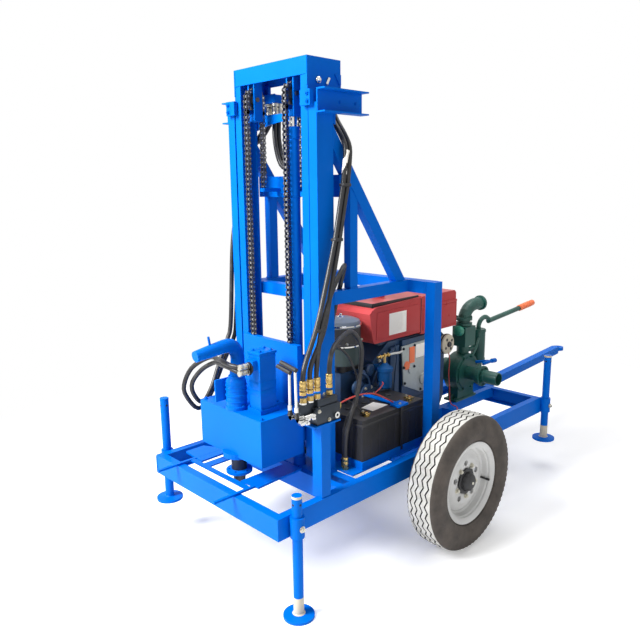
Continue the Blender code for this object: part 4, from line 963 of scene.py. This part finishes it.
def head_details():
    """Bolts and seams of the gearbox, the motor's plates, the swivel's rings."""
    top = 0.263
    corners = [(x, y, top, UP) for x in (0.114, 0.286) for y in (0.214, 0.559)]
    corners += [(0.286, y, top, UP) for y in (0.33, 0.445)]
    bolts("gearbox_bolts", corners, 0.013, BLUE, "head")
    flange = [(x, y, 0.2793, UP) for x in (0.1475, 0.2245) for y in (0.2565, 0.3225)]
    flange += [(SPINDLE_X, MIDDLE + 0.0395 * s, 0.2753, UP) for s in (-1, 1)]
    flange += [(x, y, 0.4943, UP) for x in (0.16, 0.212) for y in (0.2695, 0.3095)]
    bolts("motor_bolts", flange, 0.011, BLUE, "head")
    plates = Shape()
    for heights in ((0.33, 0.352), (0.356, 0.384), (0.47, 0.4841)):
        plates.block((0.1478, 0.2242), (0.2568, 0.3222), heights, 0.002)
    plates.block((0.144, 0.228), (0.253, 0.326), (0.484, 0.4945), 0.003)
    for height in (0.292, 0.336, 0.352):
        plates.turned([(0.036, 0), (0.0405, 0.0005), (0.0415, 0.003), (0.0405, 0.0055), (0.036, 0.006)],
                      (SPINDLE_X, MIDDLE, height), UP, 32)
    plates.block((0.07, 0.136), (0.4265, 0.4345), (0.29, 0.376), 0.002)
    plates.collar(0.0265, 0.029, 0.008, (SPINDLE_X, MIDDLE, 0.384))
    plates.rod((0.031, MIDDLE + 0.004, 0.512), (0.024, MIDDLE + 0.004, 0.556), 0.0045, 12)
    plates.piece("head_plates", [BLUE], "head", "blue_paint")
    black = Shape()
    for z in PORT_LEVELS:
        black.collar(0.009, 0.0135, 0.011, (PORT_X + 0.0004, PORT_Y, z), FRONT, 20)
    black.turned([(0, 0), (0.021, 0.0005), (0.021, 0.004), (0, 0.0045)],
                 (PORT_X + 0.0005, PORT_Y, PORT_Z - 0.01), FRONT, 24)
    black.piece("port_seals", [BELLOWS], "head", "black_plastic")
    disc = Shape()
    disc.solid([(0.049, 0.0074), (0.0508, 0.009), (0.0508, 0.0185), (0.03, 0.0212)],
                (SPINDLE_X, MIDDLE, 0), UP, 40)
    disc.piece("spindle_disc", [BLUE], "spindle", "dark_steel")
    bolts("spindle_bolts", [(SPINDLE_X + 0.041 * math.cos(a), MIDDLE + 0.041 * math.sin(a), 0.0192, UP)
                            for a in turns(6, 0.5)], 0.0085, BLUE, "spindle")


def mast_details():
    """Welds, bolts and gussets of the mast and the frames round it."""
    welds = Shape()
    for _, side in SIDES:
        outer = MIDDLE + side * 0.25
        inner = MIDDLE + side * 0.21
        for start, end in (
            ((MAST_X, outer, 0.0075), (POST_BACK, outer, 0.0075)),
            ((MAST_X, outer, 0.0075), (MAST_X, inner, 0.0075)),
            ((0.4135, MIDDLE + side * 0.248, 0.6508), (0.4135, MIDDLE + side * 0.212, 0.6508)),
            ((0.4105, MIDDLE + side * 0.251, 0.652), (0.4105, MIDDLE + side * 0.251, 0.699)),
            ((0.8395, MIDDLE + side * 0.342, 0.652), (0.8395, MIDDLE + side * 0.342, 0.699)),
            ((0.4105, MIDDLE + side * 0.249, 1.212), (0.4105, MIDDLE + side * 0.249, 1.288)),
            ((MAST_X + 0.001, outer + side * 0.0005, 1.3245), (POST_BACK, outer + side * 0.0005, 1.3245)),
            ((0.498, MIDDLE + side * 0.247, 0.7015), (0.542, MIDDLE + side * 0.247, 0.7015)),
            ((0.8405, MIDDLE + side * 0.3865, 0.001), (0.8895, MIDDLE + side * 0.3865, 0.001)),
        ):
            welds.bead(start, end)
    for x, y in ((0.0, 0.0), (FRAME_LENGTH, 0.0), (0.0, FRAME_WIDTH), (FRAME_LENGTH, FRAME_WIDTH)):
        way = 1 if x == 0 else -1
        welds.bead((x + way * 0.0005, y + (0.0005 if y == 0 else -0.0005), -0.078),
                   (x + way * 0.0005, y + (0.0005 if y == 0 else -0.0005), -0.003))
    for y in (MIDDLE - 0.06, MIDDLE + 0.06):
        welds.bead((FRAME_LENGTH + 0.0015, y, -0.074), (FRAME_LENGTH + 0.0015, y, -0.006))
    for y in (MIDDLE - 0.0225, MIDDLE + 0.0225):
        welds.bead((FRAME_LENGTH + 0.011, y, -0.058), (FRAME_LENGTH + 0.011, y, -0.016))
    welds.piece("frame_welds", [BLUE], "root", "blue_paint")
    places = []
    for _, side in SIDES:
        places += [(0.312, MIDDLE + side * 0.223, z, FRONT) for z in (1.363, 1.389)]
        places += [(x, MIDDLE + side * 0.2501, 1.365, (0, side, 0)) for x in (0.44, 0.52)]
    bolts("guide_bolts", places, 0.013, BLUE, "root")
    pins = Shape()
    for _, side in SIDES:
        cheek = MIDDLE + side * COLUMN_OFFSET
        pins.turned([(0, 0), (0.0125, 0), (0.0125, 0.005), (0.01, 0.009), (0.005, 0.0115), (0, 0.012)],
                    (0.3815, cheek, 1.4395), (0, side, 0), 24)
        pins.rod((0.42, cheek + side * 0.004, 1.427), (0.433, cheek + side * 0.004, 1.45), 0.0055, 14)
        pins.prism(((0.463, 1.4665), (0.4945, 1.4665), (0.4945, 1.43), (0.486, 1.43)), "XZ",
                   sorted((cheek, cheek + side * 0.0035)), 0.0008, 1)
    pins.piece("cheek_pins", [CHROME, BLUE], "inner_mast", "chrome")
    crown = Shape()
    for _, side in SIDES:
        low, high = span(side, 0.1985, 0.2046)
        crown.bead((0.3305, low, 1.4575), (0.3305, low, 1.512))
        crown.block((0.478, 0.4935), span(side, 0.18, 0.1985), (1.4302, 1.474), 0.001)
        crown.bead((0.452, MIDDLE + side * 0.105, 1.4305), (0.452, MIDDLE + side * 0.198, 1.4305))
    crown.piece("crosshead_welds", [BLUE], "inner_mast", "blue_paint")
    gland = Shape()
    for height, size in ((1.04, 0.0026), (1.2455, 0.003), (1.284, 0.0022)):
        gland.collar(0.0205, 0.0212 + size, 0.005, (SPROCKET[0], 0.277, height))
    gland.piece("cylinder_rings", [BLUE], "root", "blue_paint")


def leg_details():
    """Clamp screws in the sleeves, a worn band and a cross hole on each leg, the hole shown as painted
    shade.
    """
    feet = (("near_front", 0.065, -0.023, 0.0, -1), ("far_front", 0.065, FRAME_WIDTH + 0.023, 0.15, 1),
            ("near_rear", FRAME_LENGTH + 0.017, -0.017, 0.15, -1),
            ("far_rear", FRAME_LENGTH + 0.017, FRAME_WIDTH + 0.017, 0.0, 1))
    screws = []
    for name, x, y, raised, side in feet:
        low = raised - DECK_HEIGHT
        screws.append((x, y + side * 0.0248, -0.04, (0, side, 0)))
        band = Shape()
        for foot, height in ((low + 0.018, 0.058), (low + 0.44, 0.01)):
            band.collar(0.017, 0.0184, height, (x, y, foot), edge=0.0006)
        band.turned([(0.017, 0), (0.026, 0.0005), (0.0225, 0.004), (0.0185, 0.008), (0.017, 0.008)],
                    (x, y, low + 0.0098), UP, 24)
        band.piece(name + "_leg_band", [CREAM if side < 0 else BLUE], name + "_leg", "blue_paint")
        # The cross hole is not cut: two near-black rods through the leg are painted shade for its dark
        # inside
        hole = Shape()
        hole.rod((x - 0.0182, y, low + 0.42), (x + 0.0182, y, low + 0.42), 0.0048, 14)
        hole.rod((x, y - 0.0182, low + 0.42), (x, y + 0.0182, low + 0.42), 0.0048, 14)
        hole.piece(name + "_leg_hole_shade", [SHADE_BLACK], name + "_leg", "blue_paint")
    bolts("leg_screws", screws, 0.017, ZINC, "root")


# Controls, battery and wiring


def valve_details():
    """Spool caps, boots, levers and grips, with the block's plugs."""
    block = Shape()
    block.block((0.1852, 0.3003), (0.0005, 0.0535), (0.277, 0.3385), 0.0035)
    block.block((0.13, 0.295), (0.0232, 0.053), (0.3, 0.3625), 0.0035)
    block.block((0.197, 0.293), (0.0075, 0.0465), (0.33, 0.364), 0.003)
    for x in VALVE_PORTS:
        block.rod((x, VALVE_Y + 0.004, 0.355), (x, VALVE_Y + 0.004, 0.372), 0.012, 20)
    block.piece("valve_body", [DARK_STEEL], "root", "valve_iron", ("valve_block",))
    caps = Shape()
    for foot, end in (((0.1852, 0.0135, 0.315), (0.108, 0.0135, 0.315)),
                      ((0.1297, 0.04, 0.322), (0.098, 0.04, 0.322))):
        for part, radius in ((0.0, 0.0098), (0.42, 0.0088), (0.6, 0.0098)):
            start = Vector(foot).lerp(Vector(end), part)
            caps.rod(start, end, radius, 18)
    caps.turned([(0.0052, 0), (0.0105, 0), (0.0115, 0.002), (0.0115, 0.008), (0.0052, 0.008)],
                (0.2765, 0.0005, 0.2965), NEAR, 18)
    caps.rod((0.292, 0.03, 0.3165), (0.318, 0.03, 0.3165), 0.0085, 6)
    caps.block((0.108, 0.1295), (0.005, 0.048), (0.3255, 0.33), 0.001)
    for foot, reach, radius in (((0.128, 0.006, 0.308), 0.02, 0.009), ((0.112, 0.005, 0.31), 0.014, 0.0105),
                                ((0.15, 0.0225, 0.312), 0.016, 0.0095), ((0.172, 0.0225, 0.31), 0.02,
                                                                         0.008)):
        caps.rod(foot, Vector(foot) - Vector((0, reach, 0)), radius, 6)
        caps.rod(foot, Vector(foot) - Vector((0, reach + 0.007, 0)), radius * 0.6, 14)
    for x in VALVE_PORTS[:3]:
        caps.collar(0.0085, 0.014, 0.0065, (x, VALVE_Y, 0.36), UP, 18, 0.0005)
    for top, foot in (((0.101, 0.0135, 0.487), (0.1035, 0.0135, 0.348)),
                      ((0.099, 0.04, 0.475), (0.0985, 0.04, 0.352))):
        caps.rod(foot, top, 0.0048, 14)
        caps.rod(Vector(foot) - Vector((0, 0, 0.004)), Vector(foot) + Vector((0, 0, 0.014)), 0.0075, 14)
    caps.piece("spool_caps", [CHROME], "root", "chrome", ("valve_levers",))
    soft = Shape()
    for x, y, z in ((0.1045, 0.0135, 0.3235), (0.099, 0.04, 0.3305)):
        ribs = [(0.0098 - 0.0004 * k - 0.0018 * (k % 2), 0.0026 * k) for k in range(9)]
        soft.turned([(0, 0), *ribs, (0, 0.0212)], (x, y, z), UP, 18)
    for start, end in (((0.101, 0.006, 0.4895), (0.1, 0.085, 0.505)),
                       ((0.099, 0.033, 0.477), (0.098, 0.1, 0.49))):
        soft.rod(start, end, 0.0078, 16, 0.002)
    soft.piece("lever_grips", [BELLOWS], "root", "black_plastic")
    bolts("valve_screws", [(0.196, 0.0005, 0.327, NEAR), (0.243, 0.0005, 0.2875, NEAR),
                           (0.1852, 0.046, 0.29, FRONT), (0.204, 0.0135, 0.3385, UP),
                           (0.262, 0.042, 0.364, UP)], 0.0105, ZINC, "root")


def battery_details():
    """Lid, ribs, caps and posts of the battery, its clamp and the wires round it."""
    case = Shape()
    case.block((0.478, 0.862), (0.058, 0.257), (0.17, 0.184), 0.003)
    case.block((0.482, 0.858), (0.062, 0.253), (0.196, 0.2012), 0.003)
    for k in range(7):
        x = 0.53 + 0.047 * k
        case.block((x - 0.0015, x + 0.0015), (0.0585, 0.0602), (0.04, 0.168), 0.0006)
    for y in (0.105, 0.158, 0.21):
        case.block((0.4785, 0.4802), (y - 0.0015, y + 0.0015), (0.04, 0.168), 0.0006)
    for k in range(6):
        case.solid([(0.0125, 0), (0.0125, 0.004), (0.0105, 0.0055)],
                    (0.545 + 0.05 * k, 0.2, 0.201), UP, 20)
    case.piece("battery_lid", [BLACK_PLASTIC], "root", "battery_plastic")
    label = Shape()
    label.prism(((0.5898, 0.1656), (0.5955, 0.108), (0.695, 0.1145), (0.6759, 0.1786)), "XY", (0.2008,
                                                                                               0.2022))
    label.piece("bare_battery_label", [LABEL], "root", "battery_plastic")
    clamp = Shape()
    clamp.block((0.702, 0.727), (0.052, 0.262), (0.205, 0.211), 0.001)
    clamp.block((0.69, 0.755), (0.055, 0.1), (0.2015, 0.212), 0.002)
    clamp.piece("battery_clamp", [BLUE], "root", "blue_paint")
    strap = Shape()
    for low in (0.0535, 0.258):
        strap.block((0.7045, 0.7195), (low, low + 0.0035), (0.02, 0.206), 0.0008)
    strap.piece("battery_straps", [BLACK_PLASTIC], "root", "battery_plastic")
    posts = Shape()
    for x in BATTERY_POSTS:
        posts.solid([(0.014, 0), (0.014, 0.007), (0.0088, 0.008), (0.008, 0.019)],
                     (x, 0.09, 0.1995), UP, 20)
        posts.block((x - 0.013, x + 0.013), (0.078, 0.112), (0.2065, 0.2145), 0.0015)
    posts.piece("battery_posts", [BRASS], "root", "battery_plastic")
    places = [(0.7145, y, 0.2115, UP) for y in (0.068, 0.25)]
    places += [(x, 0.107, 0.2145, UP) for x in BATTERY_POSTS]
    bolts("clamp_bolts", places, 0.01, ZINC, "root")
    wires = (
        ("starter_wire", ((0.302, 0.045, 0.296), (0.345, 0.07, 0.288), (0.4, 0.095, 0.287), (0.47, 0.1,
                                                                                             0.292),
                          (0.54, 0.1, 0.288), (0.6, 0.1, 0.273), (0.659, 0.1, 0.242),
                          (0.708, 0.098, 0.213)), 0.003, RED_WIRE),
        ("glow_wire", ((0.6, 0.103, 0.276), (0.64, 0.115, 0.28), (0.7, 0.15, 0.275), (0.765, 0.2, 0.26),
                       (0.85, 0.284, 0.235)), 0.0026, RED_WIRE),
        ("earth_wire", ((0.535, 0.112, 0.213), (0.52, 0.16, 0.245), (0.56, 0.23, 0.23), (0.64, 0.275, 0.16),
                        (0.72, 0.325, 0.172)), 0.0032, BELLOWS),
        ("lamp_wire", ((1.325, 0.2645, 0.3), (1.333, 0.258, 0.24), (1.3285, 0.258, 0.177), (1.336, 0.255,
                                                                                            0.09),
                       (1.3355, 0.248, 0.02), (1.345, 0.215, 0.006), (1.312, 0.19, 0.0035), (1.29, 0.15,
                                                                                             0.003)),
         0.0026, RED_WIRE),
    )
    for name, knots, radius, look in wires:
        hose(name, knots, "root", slot="black_plastic", radius=radius, look=look)


# Engine and pump


def engine_details():
    """Tank panels, gear case, fuel filter, covers, pipes, air cleaner, pulley and flywheel ribs."""
    red = Shape()
    red.prism(((0.8, 0.428), (1.1, 0.428), (1.096, 0.548), (0.806, 0.548)), "XZ", (0.2695, 0.2725), 0.002)
    red.block((1.128, 1.386), (0.2695, 0.2725), (0.418, 0.518), 0.002)
    red.block((1.1125, 1.4015), (0.2705, 0.5215), (0.5235, 0.5345), 0.002)
    red.solid([(0.03, 0), (0.03, 0.014), (0.022, 0.02)], (0.96, 0.4, 0.5855), UP, 28)
    red.solid([(0.034, 0), (0.034, 0.01), (0.026, 0.016)], (1.27, 0.4, 0.578), UP, 28)
    red.piece("tank_panels", [RED], "root", "red_paint")
    # Near-black strips along the tank's raised top, its front edge and the gap to the hopper: painted shade
    # of the gaps under the top and between the parts
    tank_shade_strips = Shape()
    tank_shade_strips.block((0.7885, 1.1075), (0.2835, 0.2865), (0.568, 0.587), 0.001)
    tank_shade_strips.block((0.7885, 0.7915), (0.2835, 0.5085), (0.568, 0.587), 0.001)
    tank_shade_strips.block((1.1112, 1.1148), (0.27, 0.52), (0.41, 0.572), 0.001)
    tank_shade_strips.piece("tank_painted_shade", [BELLOWS], "root", "black_plastic")
    label = Shape()
    label.block((0.884, 1.003), (0.2684, 0.27), (0.436, 0.533), 0.0006)
    label.piece("bare_tank_label", [LABEL], "root", "red_paint")
    case = Shape()
    case.prism(((0.969, 0.37), (1.18, 0.374), (1.187, 0.128), (1.108, 0.129), (0.984, 0.184)),
               "XZ", (CASE_FACE, 0.2735), 0.003)
    case.solid([(0.03, 0), (0.028, 0.006), (0.012, 0.01)], (1.13, CASE_FACE, 0.19), NEAR, 28)
    case.solid([(0.016, 0), (0.014, 0.007)], (1.03, CASE_FACE, 0.25), NEAR, 20)
    case.piece("gear_case_cover", [ALLOY], "root", "engine_alloy")
    rim = ((0.98, 0.358), (1.06, 0.362), (1.17, 0.364), (1.174, 0.28), (1.176, 0.2), (1.176, 0.14),
           (1.11, 0.141), (0.992, 0.194), (0.984, 0.27), (1.06, 0.262))
    bolts("gear_case_screws", [(x, CASE_FACE, z, NEAR) for x, z in rim], 0.0105, DARK_STEEL, "root")
    plates = Shape()
    plates.block((1.022, 1.06), (0.2618, 0.2646), (0.282, 0.358), 0.0006, 1)
    plates.block((1.068, 1.166), (0.2618, 0.2646), (0.3, 0.362), 0.0006)
    plates.solid([(0.02, 0), (0.02, 0.0028)], (1.005, 0.2646, 0.276), NEAR, 28, 1)
    plates.piece("bare_case_plates", [LABEL, ORANGE], "root", "engine_alloy")
    bowl = Shape()
    bowl.solid([(0.026, 0), (0.032, 0.006), (0.033, 0.074), (0.037, 0.078), (0.037, 0.092), (0.022, 0.101),
                (0.012, 0.112)], (0.828, 0.246, 0.216), UP, 32)
    bowl.block((0.8, 0.856), (0.262, 0.292), (0.292, 0.318), 0.003)
    bowl.piece("fuel_filter", [FILTER_BLUE], "root", "black_cast")
    blue = Shape()
    blue.prism(((0.905, 0.12), (0.965, 0.06), (0.965, 0.38), (0.905, 0.372)), "XZ", (0.276, COVER_FACE),
               0.003)
    blue.rod((0.74, 0.29, 0.2), (0.74, 0.262, 0.2), 0.045, 28)
    blue.rod((0.74, 0.262, 0.2), (0.74, 0.255, 0.2), 0.02, 24)
    blue.rod((0.83, 0.29, 0.15), (0.83, 0.27, 0.15), 0.036, 28)
    blue.block((0.7, 0.9), (0.282, COVER_FACE), (0.19, 0.215), 0.002)
    for z in (0.1, 0.122, 0.144):
        blue.block((0.985, 1.3), (0.2855, COVER_FACE), (z - 0.05, z - 0.045), 0.001)
    for x, z, size in ((0.7, 0.235, 0.034), (0.775, 0.3, 0.026), (0.725, 0.288, 0.022)):
        blue.solid([(size, 0), (size, 0.01), (size * 0.7, 0.016)], (x, COVER_FACE, z), NEAR, 24)
    blue.pipe(((0.705, 0.33, 0.292), (0.715, 0.268, 0.3), (0.745, 0.262, 0.262), (0.752, 0.262, 0.2)),
              0.0045)
    blue.pipe(((0.78, 0.275, 0.24), (0.8, 0.262, 0.3), (0.85, 0.258, 0.345), (0.905, 0.262, 0.372)), 0.004)
    blue.pipe(((0.835, 0.25, 0.292), (0.8, 0.252, 0.25), (0.79, 0.262, 0.19), (0.8, 0.28, 0.13)), 0.0035)
    blue.pipe(((0.925, 0.27, 0.39), (0.93, 0.262, 0.33), (0.918, 0.262, 0.25), (0.925, 0.274, 0.15)), 0.0035)
    blue.piece("engine_covers", [ENGINE_BLUE], "root", "black_cast")
    places = [(0.74 + 0.036 * math.cos(a), 0.262, 0.2 + 0.036 * math.sin(a), NEAR)
              for a in turns(6)]
    places += [(x, 0.282, z, NEAR) for x, z in ((0.92, 0.36), (0.92, 0.15), (0.95, 0.09), (0.87, 0.35),
                                                       (0.832, 0.33), (0.71, 0.2025), (0.79, 0.2025))]
    places += [(CLEANER[0] + 0.094 * math.cos(a) * 0.94, CLEANER[1] + 0.094 * math.sin(a) * 0.94, 0.436, UP)
               for a in (2.6, 4.2, 5.6)]
    bolts("engine_bolts", places, 0.011, ZINC, "root")
    brass = Shape()
    brass.rod((0.828, 0.246, 0.326), (0.828, 0.248, 0.357), 0.006, 6)
    brass.rod((0.783, 0.25, 0.359), (0.87, 0.252, 0.3565), 0.0052, 14)
    for x in (0.8, 0.828, 0.85):
        brass.solid([(0.0095, 0), (0.0095, 0.007)], (x, 0.251, 0.3575), (1, 0, -0.03), 6)
    brass.rod((0.345, 0.066, 0.296), (0.318, 0.066, 0.3), 0.0075, 6)
    brass.block((0.34, 0.362), (0.056, 0.078), (0.284, 0.308), 0.002)
    brass.rod((0.351, 0.067, 0.284), (0.351, 0.067, 0.262), 0.006, 12)
    brass.rod((0.3, 0.04, 0.3), (0.322, 0.062, 0.3), 0.006, 12)
    brass.piece("brass_fittings", [BRASS], "root", "chrome")
    clear = Shape()
    clear.pipe(((0.868, 0.252, 0.3565), (0.905, 0.253, 0.355), (0.945, 0.258, 0.35), (0.974, 0.266, 0.35)),
               0.0052, 12, 0.01)
    clear.piece("fuel_hose", [CLEAR_HOSE], "root", "black_plastic")
    dome = Shape()
    dome.turned([(0, 0.5), (0.085, 0.5), (0.0852, 0.512), (0.079, 0.526), (0.056, 0.5345),
                 (0.025, 0.5378), (0, 0.5382)], (*CLEANER, 0), UP, 40)
    dome.piece("cleaner_dome", [CLEANER_GREY], "root", "black_cast")
    bowl = Shape()
    bowl.turned([(0.082, 0.3395), (0.0846, 0.342), (0.0852, 0.346), (0.0852, 0.418), (0.082, 0.42)],
                (*CLEANER, 0), UP, 40)
    bowl.piece("cleaner_bowl", [OIL_BOWL], "root", "black_cast")
    bands = Shape()
    for z in (0.421, 0.5065):
        bands.collar(0.083, 0.0895, 0.007, (*CLEANER, z), UP, 40, 0.0008)
    bands.rod((0.61, 0.294, 0.51), (0.624, 0.28, 0.51), 0.005, 12)
    bands.rod((*CLEANER, 0.534), (*CLEANER, 0.553), 0.006, 12)
    bands.solid([(0.016, 0), (0.016, 0.003), (0.009, 0.009)], (*CLEANER, 0.536), UP, 6)
    bands.piece("cleaner_bands", [CHROME], "root", "chrome")
    wheel_side = Shape()
    wheel_side.solid([(0.046, 0), (0.048, 0.003), (0.044, 0.008), (0.048, 0.013), (0.048, 0.026), (0.04,
                                                                                                   0.03)],
                     (PULLEY[0], 0.2895, PULLEY[1]), NEAR, 40)
    wheel_side.piece("pulley", [CREAM], "root", "engine_alloy")
    dark = Shape()
    dark.solid([(0.015, 0), (0.013, 0.008)], (PULLEY[0], 0.2595, PULLEY[1]), NEAR, 8)
    for a in turns(4):
        x, z = PULLEY[0] + 0.029 * math.cos(0.6 + a), PULLEY[1] + 0.029 * math.sin(0.6 + a)
        dark.rod((x, 0.2598, z), (x, 0.2585, z), 0.0075, 14, 0.0003)
    dark.collar(0.048, 0.05, 0.008, (PULLEY[0], 0.279, PULLEY[1]), NEAR, 40)
    dark.piece("pulley_hub", [BLACK_IRON], "root", "black_cast")
    rim = Shape()
    for a in turns(5):
        rim.prism([(FLYWHEEL[0] + r * math.cos(a + d), FLYWHEEL[1] + r * math.sin(a + d))
                   for r, d in ((0.05, -0.3), (0.16, -0.1), (0.16, 0.1), (0.05, 0.3))], "XZ",
                  (0.5095, 0.519), 0.002)
    rim.collar(0.181, 0.19, 0.006, (FLYWHEEL[0], 0.54, FLYWHEEL[1]), (0, 1, 0), 48)
    rim.piece("flywheel_ribs", [BLACK_IRON], "root", "black_cast")


def pump_details():
    """Flanges, feet and bolts of the pump, its cap, tap, suction spout and the grip's rings."""
    x, y, z = PUMP
    body = Shape()
    body.collar(0.044, 0.052, 0.011, (x, 0.176, z), NEAR)
    body.collar(0.093, 0.101, 0.013, (x, 0.29, z), (0, 1, 0), 48)
    body.collar(0.03, 0.0385, 0.013, (x + 0.151, y, 0.478), BACK)
    for height in (0.172, 0.325):
        body.collar(0.035, 0.0385, 0.013, (x + 0.153, y, height), UP, 32)
    body.pipe(((x + 0.03, 0.262, 0.215), (x + 0.07, 0.262, 0.25), (x + 0.12, 0.275, 0.3)), 0.006, step=0.01)
    body.block((x - 0.09, x + 0.09), (0.262, 0.338), (0.0005, 0.012), 0.002)
    body.prism(((x - 0.06, 0.01), (x - 0.085, 0.01), (x - 0.085, 0.016), (x - 0.05, 0.06)), "XZ",
               (0.292, 0.302))
    body.piece("pump_rings", [GREEN], "root", "green_paint")
    cap = Shape()
    cap.solid([(0.016, 0), (0.016, 0.01), (0.024, 0.012), (0.026, 0.02), (0.024, 0.044), (0.014, 0.05)],
              (x - 0.0375, 0.278, 0.36), (-1, 0, 0.25), 10)
    cap.piece("priming_cap", [GREEN_LIGHT], "root", "green_paint")
    places = [(x + r * math.cos(a), face, z + r * math.sin(a), NEAR)
              for count, r, face in ((8, 0.086, 0.2618), (4, 0.04, 0.169)) for a in turns(count, 0.5)]
    places += [(x + 0.011 + 0.036 * math.cos(a), y + 0.036 * math.sin(a), 0.424, UP) for a in turns(4, 0.5)]
    places += [(x + s * 0.078, 0.275, 0.012, UP) for s in (-1, 1)]
    bolts("pump_bolts", places, 0.012, GREEN, "root")
    tap = Shape()
    tap.rod((x + 0.075, 0.262, z - 0.072), (x + 0.075, 0.235, z - 0.072), 0.0065, 12)
    tap.block((x + 0.055, x + 0.095), (0.229, 0.237), (z - 0.076, z - 0.068), 0.002)
    tap.rod((x + 0.075, y - 0.03, z + 0.04), (x + 0.1, 0.2, z + 0.052), 0.0075, 14)
    tap.block((x + 0.04, x + 0.13), (0.19, 0.204), (z + 0.042, z + 0.058), 0.004)
    tap.rod((x + 0.12, 0.197, z + 0.05), (x + 0.16, 0.197, z + 0.046), 0.0115, 16, 0.003)
    tap.piece("drain_tap", [BLUE], "root", "green_paint")
    spout = Shape()
    spout.turned([(0.026, 0.0), (0.0345, 0.0), (0.0345, 0.004), (0.033, 0.006), (0.033, 0.072), (0.032,
                                                                                                 0.074),
                  (0.0285, 0.074), (0.0285, 0.01)], (x, 0.1552, z), NEAR, 32)
    spout.piece("suction_spout", [GREEN], "root", "green_paint")
    grip = Shape()
    start, end = Vector((2.06, 0.3, 0.394)), Vector((2.21, 0.3, 0.407))
    along = (end - start).normalized()
    for k in range(6):
        grip.collar(0.016, 0.0176, 0.008, start + along * (0.02 + 0.018 * k), along, 20)
    grip.piece("grip_rings", [ORANGE], "root", "orange_plastic")


# Studio


def studio():
    """Pale floor that reads white to the camera, and large soft lamps."""
    mesh = bpy.data.meshes.new("floor")
    bm = bmesh.new()
    bmesh.ops.create_grid(bm, x_segments=1, y_segments=1, size=30)
    bm.to_mesh(mesh)
    bm.free()
    floor = bpy.data.objects.new("floor", mesh)
    bpy.context.collection.objects.link(floor)
    n = Nodes("floor_white")
    n.shader.inputs["Base Color"].default_value = (0.9, 0.9, 0.9, 1)
    n.shader.inputs["Roughness"].default_value = 0.9
    n.shader.inputs["Specular IOR Level"].default_value = 0.1
    mesh.materials.append(n.material)
    apart = n.node("ShaderNodeVectorMath", operation="LENGTH")
    n.link(n.coords, apart.inputs[0])
    far = n.node("ShaderNodeMapRange", interpolation_type="SMOOTHSTEP")
    for label, value in (("From Min", 1.1), ("From Max", 2.8), ("To Min", 0.0), ("To Max", 1.0)):
        far.inputs[label].default_value = value
    n.link(apart.outputs["Value"], far.inputs["Value"])
    rays = n.node("ShaderNodeLightPath")
    glow = n.node("ShaderNodeEmission", Strength=1.0)
    lift = n.node("ShaderNodeEmission", Strength=0.3)
    both = n.node("ShaderNodeAddShader")
    n.link(n.shader.outputs[0], both.inputs[0])
    n.link(lift.outputs[0], both.inputs[1])
    blend = n.node("ShaderNodeMixShader")
    n.link(far.outputs["Result"], blend.inputs[0])
    n.link(both.outputs[0], blend.inputs[1])
    n.link(glow.outputs[0], blend.inputs[2])
    seen = n.node("ShaderNodeMixShader")
    n.link(rays.outputs["Is Camera Ray"], seen.inputs[0])
    n.link(n.shader.outputs[0], seen.inputs[1])
    n.link(blend.outputs[0], seen.inputs[2])
    n.link(seen.outputs[0], n.tree.nodes["Material Output"].inputs["Surface"])
    world = bpy.data.worlds.new("studio")
    bpy.context.scene.world = world
    world.use_nodes = True
    tree = world.node_tree
    background = tree.nodes["Background"]
    rays = tree.nodes.new("ShaderNodeLightPath")
    seen = rays.outputs["Is Camera Ray"]
    for kind in ("Is Glossy Ray", "Is Transmission Ray"):
        most = tree.nodes.new("ShaderNodeMath")
        most.operation = "MAXIMUM"
        tree.links.new(seen, most.inputs[0])
        tree.links.new(rays.outputs[kind], most.inputs[1])
        seen = most.outputs[0]
    level = tree.nodes.new("ShaderNodeMapRange")
    level.inputs["To Min"].default_value = 0.32
    level.inputs["To Max"].default_value = 1.0
    tree.links.new(seen, level.inputs["Value"])
    tree.links.new(level.outputs["Result"], background.inputs["Strength"])
    background.inputs["Color"].default_value = (1, 1, 1, 1)
    lamps = (
        ("key", (-4.2, 0.9, 3.6), 2.2, 430),
        ("fill", (-1.5, -4.5, 2.0), 3.5, 22),
        ("top", (0.5, 0.0, 5.0), 4.0, 110),
    )
    for name, place, size, power in lamps:
        data = bpy.data.lights.new(name, "AREA")
        data.shape = "DISK"
        data.size = size
        data.energy = power
        lamp = bpy.data.objects.new(name, data)
        bpy.context.collection.objects.link(lamp)
        lamp.location = place
        lamp.rotation_euler = (Vector((0, 0, 0.8)) - Vector(place)).to_track_quat("-Z", "Y").to_euler()
    bpy.context.scene.view_settings.view_transform = "Standard"


aim_camera()
finish_solids()
hoses()
hose_ends()
chains()
for name, side in SIDES:
    tyre(name, side)
    wheel(name, side)
head_details()
mast_details()
leg_details()
valve_details()
battery_details()
engine_details()
pump_details()
studio()
